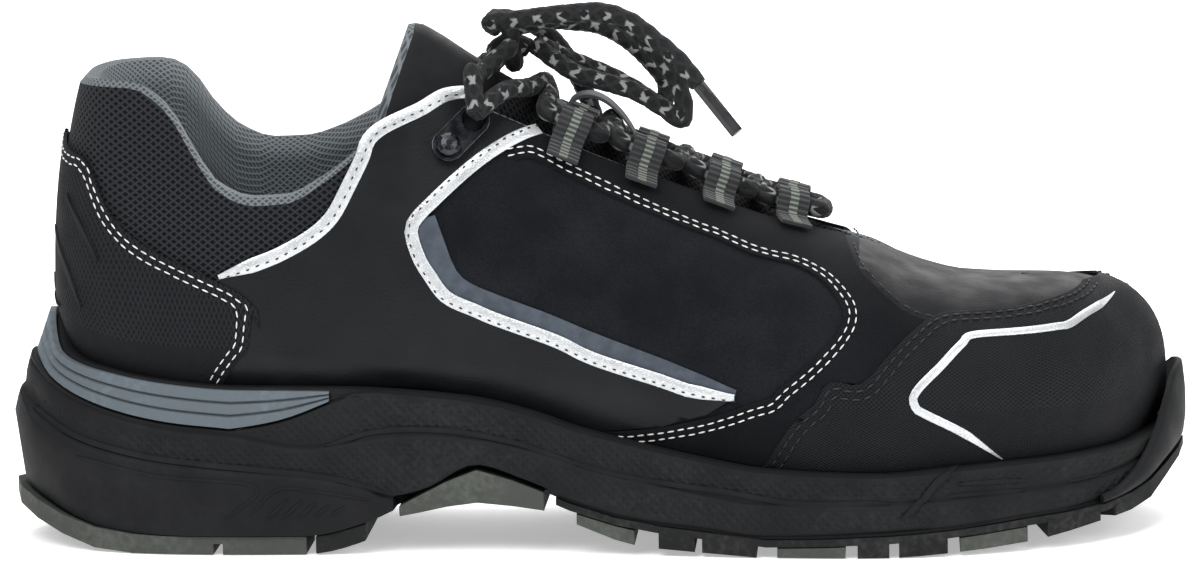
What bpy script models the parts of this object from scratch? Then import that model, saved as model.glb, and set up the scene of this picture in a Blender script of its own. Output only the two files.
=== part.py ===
"""Safety sneaker, right shoe: a lasted upper on a cup sole, with its overlays, lace loops and lace.

Metres, +X to the toe, +Y to the inner side of the foot, +Z up, floor at z = 0.
Every curved piece is worked out from one last: rays run from the spine of the foot to the sole's
outline, side by side along the foot and in a fan round the heel and the toe.
"""

import math

import bmesh
import bpy
import numpy as np
from mathutils import Matrix, Vector

MM = 0.001

# Driving sizes
LENGTH = 305 * MM
BALL_WIDTH = 109 * MM
WAIST_WIDTH = 78.5 * MM
HEEL_WIDTH = 80 * MM
HEEL_SOLE = 43 * MM
BALL_SOLE = 21 * MM
COLLAR_HEIGHT = 122 * MM
ANKLE_HEIGHT = 92 * MM
INSTEP_HEIGHT = 116 * MM
TOE_HEIGHT = 65 * MM

# Walls, pads and clearances
WALL = 2.4 * MM
COLLAR_PAD = 7 * MM
PAD_DEPTH = 38 * MM
FEATHER_TUCK = 3.0 * MM
GAP = 0.3 * MM
INSOLE_THICKNESS = 4.5 * MM
INSOLE_DISH = 1.5 * MM
TREAD_WEB = 1.8 * MM
BRIDGE_THICKNESS = 3.2 * MM
BRIDGE_DEPTH = 8 * MM
BAND_THICKNESS = 2.0 * MM
GROOVE = 1.2 * MM
GROOVE_HALF = 0.7 * MM

HEEL_PIVOT = 0.115
TOE_PIVOT = 0.86
VAMP_POINT = 0.748
COLLAR_FRONT = 0.38

LATERAL = -1
MEDIAL = 1

# Columns: share of length, half width on the outer side and on the inner side as shares of the
# width there, which runs from the heel's through the waist's to the ball's.
OUTLINE = (
    (0.022, 0.238, 0.238),
    (0.080, 0.412, 0.412),
    (0.180, 0.506, 0.494),
    (0.300, 0.524, 0.467),
    (0.420, 0.548, 0.452),
    (0.540, 0.541, 0.453),
    (0.660, 0.508, 0.466),
    (0.760, 0.495, 0.500),
    (0.860, 0.413, 0.477),
    (0.940, 0.248, 0.404),
    (0.985, 0.037, 0.284),
)
TOE_TIP_SHARE = 0.128

# Columns: share of length, tread underside, tread top, first crease, second crease, rim, footbed.
# Heights are shares of the heel sole height up to the arch, and of the ball sole height beyond it.
HEEL_LINES = (
    (0.000, 0.260, 0.350, 0.895, 1.100, 1.390, 0.630),
    (0.010, 0.215, 0.320, 0.845, 1.060, 1.300, 0.620),
    (0.030, 0.150, 0.265, 0.735, 0.970, 1.165, 0.600),
    (0.060, 0.068, 0.182, 0.655, 0.884, 1.110, 0.590),
    (0.100, 0.000, 0.120, 0.588, 0.805, 1.065, 0.580),
    (0.150, 0.000, 0.106, 0.535, 0.740, 1.014, 0.565),
    (0.200, 0.000, 0.106, 0.502, 0.705, 0.984, 0.560),
    (0.262, 0.000, 0.106, 0.465, 0.632, 0.977, 0.560),
    (0.310, 0.074, 0.177, 0.400, 0.681, 0.970, 0.560),
    (0.335, 0.209, 0.251, 0.330, 0.705, 0.960, 0.560),
    (0.360, 0.246, 0.344, 0.366, 0.712, 0.946, 0.560),
    (0.405, 0.300, 0.498, 0.516, 0.686, 0.911, 0.590),
)
BALL_LINES = (
    (0.445, 0.555, 0.838, 0.880, 1.290, 1.730, 1.030),
    (0.465, 0.510, 0.726, 0.765, 1.210, 1.640, 0.950),
    (0.482, 0.400, 0.621, 0.662, 1.130, 1.550, 0.870),
    (0.540, 0.114, 0.390, 0.430, 0.914, 1.330, 0.690),
    (0.600, 0.040, 0.286, 0.326, 0.738, 1.143, 0.590),
    (0.640, 0.000, 0.210, 0.250, 0.650, 1.045, 0.545),
    (0.740, 0.000, 0.250, 0.290, 0.638, 0.981, 0.530),
    (0.800, 0.040, 0.305, 0.345, 0.690, 1.038, 0.570),
    (0.860, 0.110, 0.390, 0.430, 0.738, 1.076, 0.640),
    (0.920, 0.257, 0.443, 0.483, 0.786, 1.095, 0.690),
    (0.960, 0.367, 0.586, 0.626, 0.881, 1.114, 0.760),
    (0.985, 0.690, 0.820, 0.860, 1.000, 1.170, 0.810),
    (1.000, 0.880, 0.980, 1.010, 1.080, 1.219, 0.860),
)

# How far each step of the sole's side, and the upper, lies inside the outline, in mm.
# Columns: share of length, block, band, wall at its foot, wall at the rim, upper.
SIDE_STEPS = (
    (0.000, 0.0, 4.0, 9.2, 13.0, 13.6),
    (0.030, 0.0, 3.2, 6.8, 9.4, 10.8),
    (0.080, 0.0, 2.2, 5.2, 7.0, 8.8),
    (0.150, 0.0, 1.8, 4.6, 6.2, 8.0),
    (0.285, 0.0, 1.2, 4.4, 6.0, 7.8),
    (0.320, 0.5, 0.9, 2.4, 3.6, 7.5),
    (0.420, 1.5, 0.0, 1.0, 3.0, 7.0),
    (0.540, 1.5, 0.3, 1.2, 2.8, 6.4),
    (0.660, 1.5, 0.5, 1.5, 2.8, 6.0),
    (0.770, 1.5, 1.2, 2.0, 3.0, 5.8),
    (0.790, 1.5, 0.4, 1.3, 2.6, 5.8),
    (0.890, 1.6, 0.8, 1.6, 2.6, 5.4),
    (0.920, 2.5, 2.5, 2.6, 3.0, 5.8),
    (0.960, 2.8, 2.8, 2.8, 3.4, 6.3),
    (1.000, 2.8, 2.8, 2.8, 3.6, 6.8),
)

# The front end of the heel band climbs from the second crease to the rim between these stations.
BAND_END_LOW = 0.200
BAND_END_HIGH = 0.307
BAND_TAIL = 0.283

# Columns: station, height of the widest line, height of the ridge, squareness of the section.
LAST_SECTIONS = (
    (0.000, 1.560 * HEEL_SOLE, 1.120 * COLLAR_HEIGHT, 2.0),
    (0.030, 1.460 * HEEL_SOLE, 1.160 * COLLAR_HEIGHT, 2.0),
    (0.060, 1.360 * HEEL_SOLE, 1.230 * COLLAR_HEIGHT, 2.0),
    (0.090, 1.290 * HEEL_SOLE, 1.360 * COLLAR_HEIGHT, 2.0),
    (0.115, 1.250 * HEEL_SOLE, 1.450 * COLLAR_HEIGHT, 2.0),
    (0.200, 1.210 * HEEL_SOLE, 1.480 * COLLAR_HEIGHT, 2.0),
    (0.260, 1.180 * HEEL_SOLE, 1.500 * INSTEP_HEIGHT, 2.0),
    (0.310, 1.160 * HEEL_SOLE, 1.320 * INSTEP_HEIGHT, 2.1),
    (0.345, 1.140 * HEEL_SOLE, 1.190 * INSTEP_HEIGHT, 2.2),
    (0.380, 1.130 * HEEL_SOLE, 1.090 * INSTEP_HEIGHT, 2.3),
    (0.425, 1.110 * HEEL_SOLE, 1.005 * INSTEP_HEIGHT, 2.3),
    (0.460, 1.080 * HEEL_SOLE, 0.945 * INSTEP_HEIGHT, 2.3),
    (0.500, 1.040 * HEEL_SOLE, 0.887 * INSTEP_HEIGHT, 2.25),
    (0.550, 1.000 * HEEL_SOLE, 0.822 * INSTEP_HEIGHT, 2.2),
    (0.600, 1.950 * BALL_SOLE, 0.760 * INSTEP_HEIGHT, 2.2),
    (0.650, 1.880 * BALL_SOLE, 0.702 * INSTEP_HEIGHT, 2.25),
    (0.700, 1.810 * BALL_SOLE, 0.660 * INSTEP_HEIGHT, 2.3),
    (0.735, 1.780 * BALL_SOLE, 0.634 * INSTEP_HEIGHT, 2.3),
    (0.760, 1.760 * BALL_SOLE, 1.072 * TOE_HEIGHT, 2.35),
    (0.785, 1.740 * BALL_SOLE, 1.028 * TOE_HEIGHT, 2.4),
    (0.810, 1.720 * BALL_SOLE, 1.000 * TOE_HEIGHT, 2.45),
    (0.860, 1.700 * BALL_SOLE, 0.988 * TOE_HEIGHT, 2.5),
    (1.000, 1.700 * BALL_SOLE, 0.992 * TOE_HEIGHT, 2.85),
)

# Columns: share of length, offset of the spine to the inner side as a share of the ball width.
SPINE = (
    (0.000, 0.000),
    (0.200, -0.010),
    (0.350, -0.024),
    (0.500, -0.012),
    (0.620, 0.012),
    (0.750, 0.034),
    (0.860, 0.037),
    (1.000, 0.037),
)

# Columns: station, height of the collar's crest on the outer side and on the inner side.
COLLAR_LINE = (
    (0.000, 1.000 * COLLAR_HEIGHT, 1.000 * COLLAR_HEIGHT),
    (0.118, 0.998 * COLLAR_HEIGHT, 1.018 * COLLAR_HEIGHT),
    (0.135, 0.978 * COLLAR_HEIGHT, 1.012 * COLLAR_HEIGHT),
    (0.150, 0.945 * COLLAR_HEIGHT, 0.988 * COLLAR_HEIGHT),
    (0.170, 1.143 * ANKLE_HEIGHT, 1.215 * ANKLE_HEIGHT),
    (0.190, 1.043 * ANKLE_HEIGHT, 1.150 * ANKLE_HEIGHT),
    (0.220, 1.000 * ANKLE_HEIGHT, 1.112 * ANKLE_HEIGHT),
    (0.250, 1.006 * ANKLE_HEIGHT, 1.116 * ANKLE_HEIGHT),
    (0.275, 0.832 * INSTEP_HEIGHT, 0.905 * INSTEP_HEIGHT),
    (0.300, 0.880 * INSTEP_HEIGHT, 0.936 * INSTEP_HEIGHT),
    (0.325, 0.935 * INSTEP_HEIGHT, 0.972 * INSTEP_HEIGHT),
    (0.350, 0.977 * INSTEP_HEIGHT, 1.000 * INSTEP_HEIGHT),
    (0.380, 1.003 * INSTEP_HEIGHT, 1.008 * INSTEP_HEIGHT),
)

# Columns: station, half the throat's width as a share of the ball width.
THROAT = (
    (0.380, 0.178),
    (0.400, 0.170),
    (0.430, 0.162),
    (0.460, 0.154),
    (0.500, 0.145),
    (0.550, 0.132),
    (0.600, 0.118),
    (0.650, 0.097),
    (0.690, 0.070),
    (0.720, 0.040),
    (0.748, 0.000),
)

# Columns: station, height of the tongue's crest as a share of the instep height, half width as a
# share of the ball width, thickness in mm.
TONGUE = (
    (0.346, 1.134, 0.112, 8.0),
    (0.353, 1.136, 0.124, 10.0),
    (0.370, 1.115, 0.126, 9.0),
    (0.390, 1.080, 0.128, 7.5),
    (0.412, 1.042, 0.128, 6.5),
    (0.440, 0.998, 0.174, 5.0),
    (0.500, 0.905, 0.188, 4.5),
    (0.560, 0.822, 0.190, 4.2),
    (0.620, 0.752, 0.184, 4.0),
    (0.680, 0.684, 0.160, 3.6),
    (0.725, 0.640, 0.135, 3.0),
)

# Stations where the last has a section; the fans at its ends are evenly divided.
HEEL_FAN_STEPS = 5
TOE_FAN_STEPS = 6
MIDDLE_STATIONS = (
    0.140, 0.165, 0.190, 0.217, 0.248, 0.270, 0.283,
    0.294, 0.306, 0.322, 0.337, 0.358, 0.380, 0.405,
    0.435, 0.463, 0.468, 0.482, 0.520, 0.560, 0.600,
    0.645, 0.690, 0.722, 0.748, 0.772, 0.790, 0.825,
)


def smooth(rows, column):
    """A smooth function through one column of a table that never swings past its neighbours."""
    xs = np.array([row[0] for row in rows])
    ys = np.array([row[column] for row in rows])
    step = np.diff(xs)
    rise = np.diff(ys) / step
    slope = np.zeros(len(xs))
    slope[0], slope[-1] = rise[0], rise[-1]
    for i in range(1, len(xs) - 1):
        if rise[i - 1] * rise[i] > 0:
            before = 2 * step[i] + step[i - 1]
            after = step[i] + 2 * step[i - 1]
            slope[i] = (before + after) / (before / rise[i - 1] + after / rise[i])

    def value(x):
        x = min(max(x, xs[0]), xs[-1])
        i = min(int(np.searchsorted(xs, x, side="right")) - 1, len(xs) - 2)
        u = (x - xs[i]) / step[i]
        start = (1 + 2 * u) * (1 - u) ** 2 * ys[i] + u * (1 - u) ** 2 * step[i] * slope[i]
        end = u * u * (3 - 2 * u) * ys[i + 1] + u * u * (u - 1) * step[i] * slope[i + 1]
        return float(start + end)

    return value


def scaled(rows, size):
    return tuple((row[0],) + tuple(size * value for value in row[1:]) for row in rows)


SOLE_LINES = scaled(HEEL_LINES, HEEL_SOLE) + scaled(BALL_LINES, BALL_SOLE)
tread_under, tread_top, crease_low, crease_high, rim, footbed = (
    smooth(SOLE_LINES, column) for column in range(1, 7)
)
block_step, band_step, wall_foot_step, wall_rim_step, upper_step = (
    smooth(scaled(SIDE_STEPS, MM), column) for column in range(1, 6)
)
widest_height, ridge_height, squareness = (smooth(LAST_SECTIONS, column) for column in (1, 2, 3))
spine_offset = smooth(scaled(SPINE, BALL_WIDTH), 1)
collar_crest = {LATERAL: smooth(COLLAR_LINE, 1), MEDIAL: smooth(COLLAR_LINE, 2)}
throat_half = smooth(scaled(THROAT, BALL_WIDTH), 1)
foot_width = smooth(((0.18, HEEL_WIDTH), (0.42, WAIST_WIDTH), (0.70, BALL_WIDTH)), 1)


def closed_spline(points, steps):
    """Points along a smooth closed curve through the given ones."""
    points = np.array(points)
    count = len(points)
    chord = np.linalg.norm(np.roll(points, -1, axis=0) - points, axis=1)
    matrix = np.zeros((count, count))
    right = np.zeros((count, 2))
    for i in range(count):
        before, after = chord[i - 1], chord[i]
        matrix[i, i - 1] += before
        matrix[i, i] += 2 * (before + after)
        matrix[i, (i + 1) % count] += after
        onward = (points[(i + 1) % count] - points[i]) / after
        back = (points[i] - points[i - 1]) / before
        right[i] = 6 * (onward - back)
    bend = np.linalg.solve(matrix, right)
    curve = []
    for i in range(count):
        j = (i + 1) % count
        for step in range(steps):
            a = 1 - step / steps
            b = 1 - a
            curved = ((a**3 - a) * bend[i] + (b**3 - b) * bend[j]) * chord[i] ** 2 / 6
            curve.append(a * points[i] + b * points[j] + curved)
    return np.array(curve)


def sole_outline():
    """The sole's plan outline, from the heel's back along the outer side, the toe and back."""
    outer = [((s - 0.5) * LENGTH, -share * foot_width(s)) for s, share, _ in OUTLINE]
    inner = [((s - 0.5) * LENGTH, share * foot_width(s)) for s, _, share in OUTLINE]
    toe = (LENGTH / 2, TOE_TIP_SHARE * BALL_WIDTH)
    heel = (-LENGTH / 2, 0.0)
    curve = closed_spline([heel] + outer + [toe] + inner[::-1], 24)
    centre = (curve.min(axis=0) + curve.max(axis=0)) / 2
    reach = (curve.max(axis=0) - curve.min(axis=0)) / 2
    return (curve - centre) * np.array([LENGTH / 2 / reach[0], 1.0])


OUTLINE_CURVE = sole_outline()


def station_x(s):
    return (s - 0.5) * LENGTH


def share_of(x):
    return x / LENGTH + 0.5


def run_to_outline(start, heading):
    """Distance from a point inside the outline to the outline along a heading."""
    away = OUTLINE_CURVE - start
    along = away @ heading
    across = away @ np.array([-heading[1], heading[0]])
    next_along, next_across = np.roll(along, -1), np.roll(across, -1)
    crossing = (across <= 0) != (next_across <= 0)
    share = across[crossing] / (across[crossing] - next_across[crossing])
    runs = along[crossing] + share * (next_along[crossing] - along[crossing])
    return float(runs.max())


RAYS = {}


def ray(station, side):
    """Start on the spine, heading, run to the outline and the station's edge share."""
    key = (round(station, 6), side)
    if key not in RAYS:
        s = min(max(station, HEEL_PIVOT), TOE_PIVOT)
        start = np.array([station_x(s), spine_offset(s)])
        turn = math.pi / 2
        ahead = 0
        if station < HEEL_PIVOT:
            turn = math.pi / 2 * station / HEEL_PIVOT
            ahead = -1
        if station > TOE_PIVOT:
            turn = math.pi / 2 * (1 - station) / (1 - TOE_PIVOT)
            ahead = 1
        heading = np.array([ahead * math.cos(turn), side * math.sin(turn)])
        run = run_to_outline(start, heading)
        RAYS[key] = (start, heading, run, share_of(start[0] + heading[0] * run))
    return RAYS[key]


def stations():
    heel = [HEEL_PIVOT * i / HEEL_FAN_STEPS for i in range(HEEL_FAN_STEPS + 1)]
    span = 1 - TOE_PIVOT
    toe = [TOE_PIVOT + span * i / TOE_FAN_STEPS for i in range(TOE_FAN_STEPS + 1)]
    return heel + list(MIDDLE_STATIONS) + toe


STATIONS = stations()


def sole_point(station, side, inside, height):
    """A point a given way inside the outline, at a height."""
    start, heading, run, _ = ray(station, side)
    x, y = start + heading * (run - inside)
    return (x, y, height)


def edge_share(station, side):
    return ray(station, side)[3]


def tuck_at(share, height, widest):
    """How far the upper draws in below its widest line, down to the feather line at the rim."""
    if height >= widest:
        return 0.0
    drop = min(1.0, (widest - height) / (widest - rim(share)))
    return FEATHER_TUCK * drop**2


def last_at_height(station, side, height, inside=0.0):
    """The last's surface below its widest line."""
    _, _, _, share = ray(station, side)
    widest = widest_height(station)
    step = upper_step(share) + inside + tuck_at(share, height, widest)
    return sole_point(station, side, step, height)


def last_at_turn(station, side, turn, inside=0.0):
    """The last's surface above its widest line; turn runs from 0 there to 1 at the ridge."""
    start, heading, run, share = ray(station, side)
    power = 2 / squareness(station)
    angle = turn * math.pi / 2
    base = run - upper_step(share) - inside
    reach = max(math.cos(angle), 0.0) ** power if turn < 1 else 0.0
    x, y = start + heading * base * reach
    widest = widest_height(station)
    height = widest + (ridge_height(station) - inside - widest) * math.sin(angle) ** power
    return (x, y, height)


def last_over(station, side, away, inside=0.0):
    """The last's height at a distance from the spine."""
    _, _, run, share = ray(station, side)
    power = squareness(station)
    base = run - upper_step(share) - inside
    reach = min(away / base, 1.0)
    widest = widest_height(station)
    return widest + (ridge_height(station) - inside - widest) * (1 - reach**power) ** (1 / power)


def turn_at_height(station, height):
    widest = widest_height(station)
    rise = min(max((height - widest) / (ridge_height(station) - widest), 0.0), 1.0)
    return math.asin(rise ** (squareness(station) / 2)) * 2 / math.pi


def turn_at_reach(station, side, away):
    _, _, run, share = ray(station, side)
    reach = away / (run - upper_step(share))
    return math.acos(min(reach, 1.0) ** (squareness(station) / 2)) * 2 / math.pi


def pad_at(station):
    """Extra thickness of the collar's padding, which fades out towards the eyelets."""
    fade = min(max((station - 0.30) / (COLLAR_FRONT - 0.30), 0.0), 1.0)
    return COLLAR_PAD * (1 - fade)


ROLL_RISE = 0.42


def top_turn(station, side):
    """Where the outer surface ends below the rolled edge of the collar or throat."""
    if station >= VAMP_POINT:
        return 1.0
    if station <= COLLAR_FRONT:
        lip = ROLL_RISE * (WALL + pad_at(station))
        return turn_at_height(station, collar_crest[side](station) - lip)
    return turn_at_reach(station, side, throat_half(station))


UPPER_ROWS = 6
LOW_ROWS = 2


def outer_column(station, side, inside=0.0, foot=None, margin=0.0):
    """Points up the last from the footbed to the top edge, moved in or out."""
    share = edge_share(station, side)
    widest = widest_height(station)
    start = footbed(share) + GAP if foot is None else foot
    heights = [start] if start > rim(share) else [start, rim(share)]
    low = heights[-1]
    heights += [low + (widest - low) * i / LOW_ROWS for i in range(1, LOW_ROWS)]
    points = [last_at_height(station, side, height, inside) for height in heights]
    top = top_turn(station, side)
    if top < 1:
        top -= margin
    for i in range(UPPER_ROWS + 1):
        points.append(last_at_turn(station, side, top * i / UPPER_ROWS, inside))
    return points


def inner_column(station, side):
    """The upper's inner face, thicker where the collar is padded."""
    share = edge_share(station, side)
    widest = widest_height(station)
    crest = collar_crest[side](min(station, COLLAR_FRONT))
    pad = pad_at(station)

    def inside_at(height):
        rise = min(max((height - crest + PAD_DEPTH) / (0.6 * PAD_DEPTH), 0.0), 1.0)
        return WALL + pad * rise * rise * (3 - 2 * rise)

    low = rim(share)
    heights = [footbed(share) + GAP, low]
    heights += [low + (widest - low) * i / LOW_ROWS for i in range(1, LOW_ROWS)]
    points = [last_at_height(station, side, height, inside_at(height)) for height in heights]
    top = top_turn(station, side)
    for i in range(UPPER_ROWS + 1):
        turn = top * i / UPPER_ROWS
        height = last_at_turn(station, side, turn)[2]
        points.append(last_at_turn(station, side, turn, inside_at(height)))
    return points


def rolled_edge(outer, inner):
    """Points over the top edge, from the outer face to the inner."""
    high, below, other = (np.array(p) for p in (outer[-1], outer[-2], inner[-1]))
    along = (high - below) / np.linalg.norm(high - below)
    across = other - high
    thick = np.linalg.norm(across)
    curve = ((0.12, 0.62), (0.5, 1.0), (0.88, 0.62))
    return [tuple(high + across * a + along * thick * ROLL_RISE * h) for a, h in curve]


PARTS = bpy.data.collections.new("safety_sneaker")
CUTTERS = bpy.data.collections.new("cutters")


def clear_scene():
    for thing in list(bpy.data.objects):
        bpy.data.objects.remove(thing, do_unlink=True)
    for collection in (PARTS, CUTTERS):
        bpy.context.scene.collection.children.link(collection)


def srgb(code):
    values = [int(code[i : i + 2], 16) / 255 for i in (0, 2, 4)]
    return tuple(v / 12.92 if v <= 0.04045 else ((v + 0.055) / 1.055) ** 2.4 for v in values) + (1,)


def finish(name, code, roughness, metallic=0.0):
    material = bpy.data.materials.new(name)
    material.use_nodes = True
    shader = material.node_tree.nodes["Principled BSDF"]
    shader.inputs["Base Color"].default_value = srgb(code)
    shader.inputs["Roughness"].default_value = roughness
    shader.inputs["Metallic"].default_value = metallic
    material.diffuse_color = srgb(code)
    return material


FINISHES = {
    "upper": finish("black nubuck", "1d1e22", 0.85),
    "leather": finish("black smooth leather", "2a2b2e", 0.45),
    "guard": finish("black coated fabric", "232427", 0.7),
    "lining": finish("grey knitted lining", "6c7274", 0.9),
    "tongue": finish("black tongue cloth", "1f2023", 0.8),
    "rubber": finish("black polyurethane", "1e1f21", 0.6),
    "grey rubber": finish("grey rubber", "5b5e5a", 0.7),
    "band": finish("grey moulded band", "545a60", 0.6),
    "webbing": finish("ribbed webbing", "2c2e2d", 0.8),
    "gunmetal": finish("gunmetal", "3a3c3f", 0.3, 1.0),
    "lace": finish("black braided lace", "26272a", 0.85),
    "aglet": finish("smoked plastic", "1a1b1c", 0.25),
}


def add_object(name, mesh, material, collection=PARTS):
    mesh.name = name
    mesh.materials.clear()
    mesh.materials.append(FINISHES[material])
    thing = bpy.data.objects.new(name, mesh)
    collection.objects.link(thing)
    mesh.shade_smooth()
    mesh.set_sharp_from_angle(angle=math.radians(35))
    return thing


def mesh_from(bm):
    bmesh.ops.remove_doubles(bm, verts=bm.verts, dist=1e-6)
    bmesh.ops.recalc_face_normals(bm, faces=bm.faces)
    mesh = bpy.data.meshes.new("piece")
    bm.to_mesh(mesh)
    bm.free()
    return mesh


def strip(bm, first, second, closed=False):
    """Faces between two rows of vertices."""
    count = len(first)
    last = count if closed else count - 1
    for i in range(last):
        j = (i + 1) % count
        corners = []
        for vertex in (first[i], first[j], second[j], second[i]):
            if vertex not in corners:
                corners.append(vertex)
        if len(corners) > 2:
            bm.faces.new(corners)


def loft(name, rings, material, ends=True):
    """A closed body through closed rings; without ends, the last ring joins the first."""
    bm = bmesh.new()
    rows = [[bm.verts.new(p) for p in ring] for ring in rings]
    for first, second in zip(rows, rows[1:]):
        strip(bm, first, second, closed=True)
    if ends:
        bm.faces.new(rows[0])
        bm.faces.new(rows[-1])
    else:
        strip(bm, rows[-1], rows[0], closed=True)
    return add_object(name, mesh_from(bm), material)


def round_foot(first=0.0):
    """Stations and sides right round the foot, from the heel's back along the outer side."""
    outer = [(s, LATERAL) for s in STATIONS if s >= first]
    inner = [(s, MEDIAL) for s in reversed(STATIONS[1:-1]) if s >= first]
    return outer + inner


def plate(bm, rows):
    """Fills a row of vertices that runs round the foot, with strips from side to side.

    An even row starts at one end of the foot, and an odd one starts and ends at its cut edge.
    """
    half = len(rows) // 2
    outer = rows[: half + 1]
    inner = [rows[0]] + rows[: half - 1 : -1] if len(rows) % 2 == 0 else rows[: half - 1 : -1]
    strip(bm, outer, inner)


def stacked(name, columns, material):
    """A closed body from columns of points round the foot, the first and last rows filled across."""
    bm = bmesh.new()
    rows = [[bm.verts.new(column[i]) for column in columns] for i in range(len(columns[0]))]
    for first, second in zip(rows, rows[1:]):
        strip(bm, first, second, closed=True)
    plate(bm, rows[0])
    plate(bm, rows[-1])
    return add_object(name, mesh_from(bm), material)


def shell_mesh(outers, inners, open_top):
    """A wall between outer and inner columns round the foot, with a rolled edge where it is open."""
    bm = bmesh.new()
    columns = []
    for outer, inner, is_open in zip(outers, inners, open_top):
        if is_open:
            edge = rolled_edge(outer, inner)
        else:
            high, low = np.array(outer[-1]), np.array(inner[-1])
            edge = [tuple(high + (low - high) * share) for share in (0.25, 0.5, 0.75)]
        points = outer + edge + inner[::-1]
        columns.append([bm.verts.new(p) for p in points])
    height = len(outers[0])
    count = len(columns)
    for i in range(count):
        j = (i + 1) % count
        first, second = columns[i], columns[j]
        closed_pair = not open_top[i] and not open_top[j]
        for k in range(len(first)):
            on_edge = height - 1 <= k < height + 3
            if on_edge and closed_pair:
                continue
            n = (k + 1) % len(first)
            bm.faces.new((first[k], first[n], second[n], second[k]))
    return mesh_from(bm)


def make_upper():
    places = round_foot()
    outers = [outer_column(s, side) for s, side in places]
    inners = [inner_column(s, side) for s, side in places]
    open_top = [s < VAMP_POINT for s, _ in places]
    add_object("upper", shell_mesh(outers, inners, open_top), "upper")


ARCH_START = 0.336
ARCH_END = 0.465


def in_arch(station):
    return ARCH_START <= station <= ARCH_END


def web_top(share):
    """Underside of the midsole: the tread's top line, but lower across the arch."""
    if not in_arch(share):
        return tread_top(share)
    return min(tread_top(share), tread_under(share) + BRIDGE_THICKNESS + 1.0 * MM)


def band_foot(share):
    """Lower edge of the recess for the grey heel band."""
    low = crease_high(share) + 2 * GROOVE_HALF
    high = rim(share) - 0.6 * MM
    climb = (share - BAND_END_LOW) / (BAND_END_HIGH - BAND_END_LOW)
    return low + (high - low) * min(max(climb, 0.0), 1.0)


def midsole_column(station, side):
    """Up the side wall, over the rim and down inside the cup to the footbed."""
    share = edge_share(station, side)
    low = BRIDGE_DEPTH + GAP if in_arch(station) else block_step(share)
    first, second = crease_low(share), crease_high(share)
    band = band_step(share)
    foot = band_foot(share)
    wall = wall_foot_step(share)
    top = wall_rim_step(share)
    plain_wall = band + 0.8 * MM
    wing = plain_wall if share < BAND_END_HIGH else wall
    cup = upper_step(share) + FEATHER_TUCK - GAP
    profile = (
        (low, web_top(share) + GAP),
        (low, first - GROOVE_HALF),
        (min(low, band) + GROOVE if not in_arch(station) else low, first),
        (band, first + GROOVE_HALF),
        (band, second - GROOVE_HALF),
        (band + GROOVE, second),
        (wing, second + GROOVE_HALF),
        (wing, foot - GROOVE_HALF / 2),
        (wall, foot),
        (top, rim(share) - GROOVE_HALF / 2),
        (top + GROOVE / 2, rim(share)),
        (cup, rim(share)),
        (cup, footbed(share)),
    )
    return [sole_point(station, side, inside, height) for inside, height in profile]


def make_midsole():
    stacked("midsole", [midsole_column(s, side) for s, side in round_foot()], "rubber")


def make_insole():
    columns = []
    for station, side in round_foot():
        share = edge_share(station, side)
        edge = upper_step(share) + FEATHER_TUCK + WALL + GAP
        low = footbed(share) + GAP
        profile = (
            (edge, low),
            (edge, low + INSOLE_THICKNESS),
            (edge + 2 * INSOLE_THICKNESS, low + INSOLE_THICKNESS - INSOLE_DISH),
        )
        columns.append([sole_point(station, side, inside, height) for inside, height in profile])
    stacked("insole", columns, "lining")


def slab(name, tops, bottoms, material):
    """A closed body between two grids of points."""
    bm = bmesh.new()
    high = [[bm.verts.new(p) for p in row] for row in tops]
    low = [[bm.verts.new(p) for p in row] for row in bottoms]
    for grid in (high, low):
        for first, second in zip(grid, grid[1:]):
            strip(bm, first, second)
    strip(bm, high[0], low[0])
    strip(bm, high[-1], low[-1])
    strip(bm, [row[0] for row in high], [row[0] for row in low])
    strip(bm, [row[-1] for row in high], [row[-1] for row in low])
    return add_object(name, mesh_from(bm), material)


def between(low, high):
    """The last's stations from low to high, with those two ends."""
    inner = [s for s in STATIONS if low + 0.004 < s < high - 0.004]
    return [low] + inner + [high]


def round_heel(end):
    """Stations and sides from the inner side round the heel's back to the outer side."""
    near = between(0.0, end)
    return [(s, MEDIAL) for s in reversed(near)] + [(s, LATERAL) for s in near[1:]]


def round_toe(start):
    """Stations and sides from the outer side round the toe to the inner side."""
    near = between(start, 1.0)
    return [(s, LATERAL) for s in near] + [(s, MEDIAL) for s in reversed(near[:-1])]


# The grey ribbed band round the heel
BAND_RIBS = 3
RIB_GROOVE = 1.0 * MM
RIB_GROOVE_HALF = 0.45 * MM
BAND_LEAST = 0.3 * MM


def band_section(station, side):
    """Ribs from the band's lower edge to its top, then down its back."""
    share = edge_share(station, side)
    recess, edge = band_foot(share), rim(share) - GROOVE_HALF / 2
    low = recess + GAP
    high = max(edge - GAP, low + BAND_LEAST)
    foot, top = wall_foot_step(share), wall_rim_step(share)
    groove = min(RIB_GROOVE_HALF, (high - low) / 12)

    def inside(height):
        climb = (height - recess) / (edge - recess)
        return foot + (top - foot) * climb - BAND_THICKNESS - GAP

    points = []
    for rib in range(BAND_RIBS):
        bottom = low + (high - low) * rib / BAND_RIBS
        above = low + (high - low) * (rib + 1) / BAND_RIBS
        if rib:
            bottom += groove
        if rib < BAND_RIBS - 1:
            above -= groove
        points += [(inside(bottom), bottom), (inside(above), above)]
        if rib < BAND_RIBS - 1:
            middle = above + groove
            points.append((inside(middle) + RIB_GROOVE, middle))
    back = BAND_THICKNESS - GAP
    points += [(inside(high) + back, high), (inside(low) + back, low)]
    return [sole_point(station, side, step, height) for step, height in points]


def make_heel_band():
    rings = [band_section(s, side) for s, side in round_heel(BAND_TAIL)]
    loft("heel_band", rings, "band")


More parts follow.
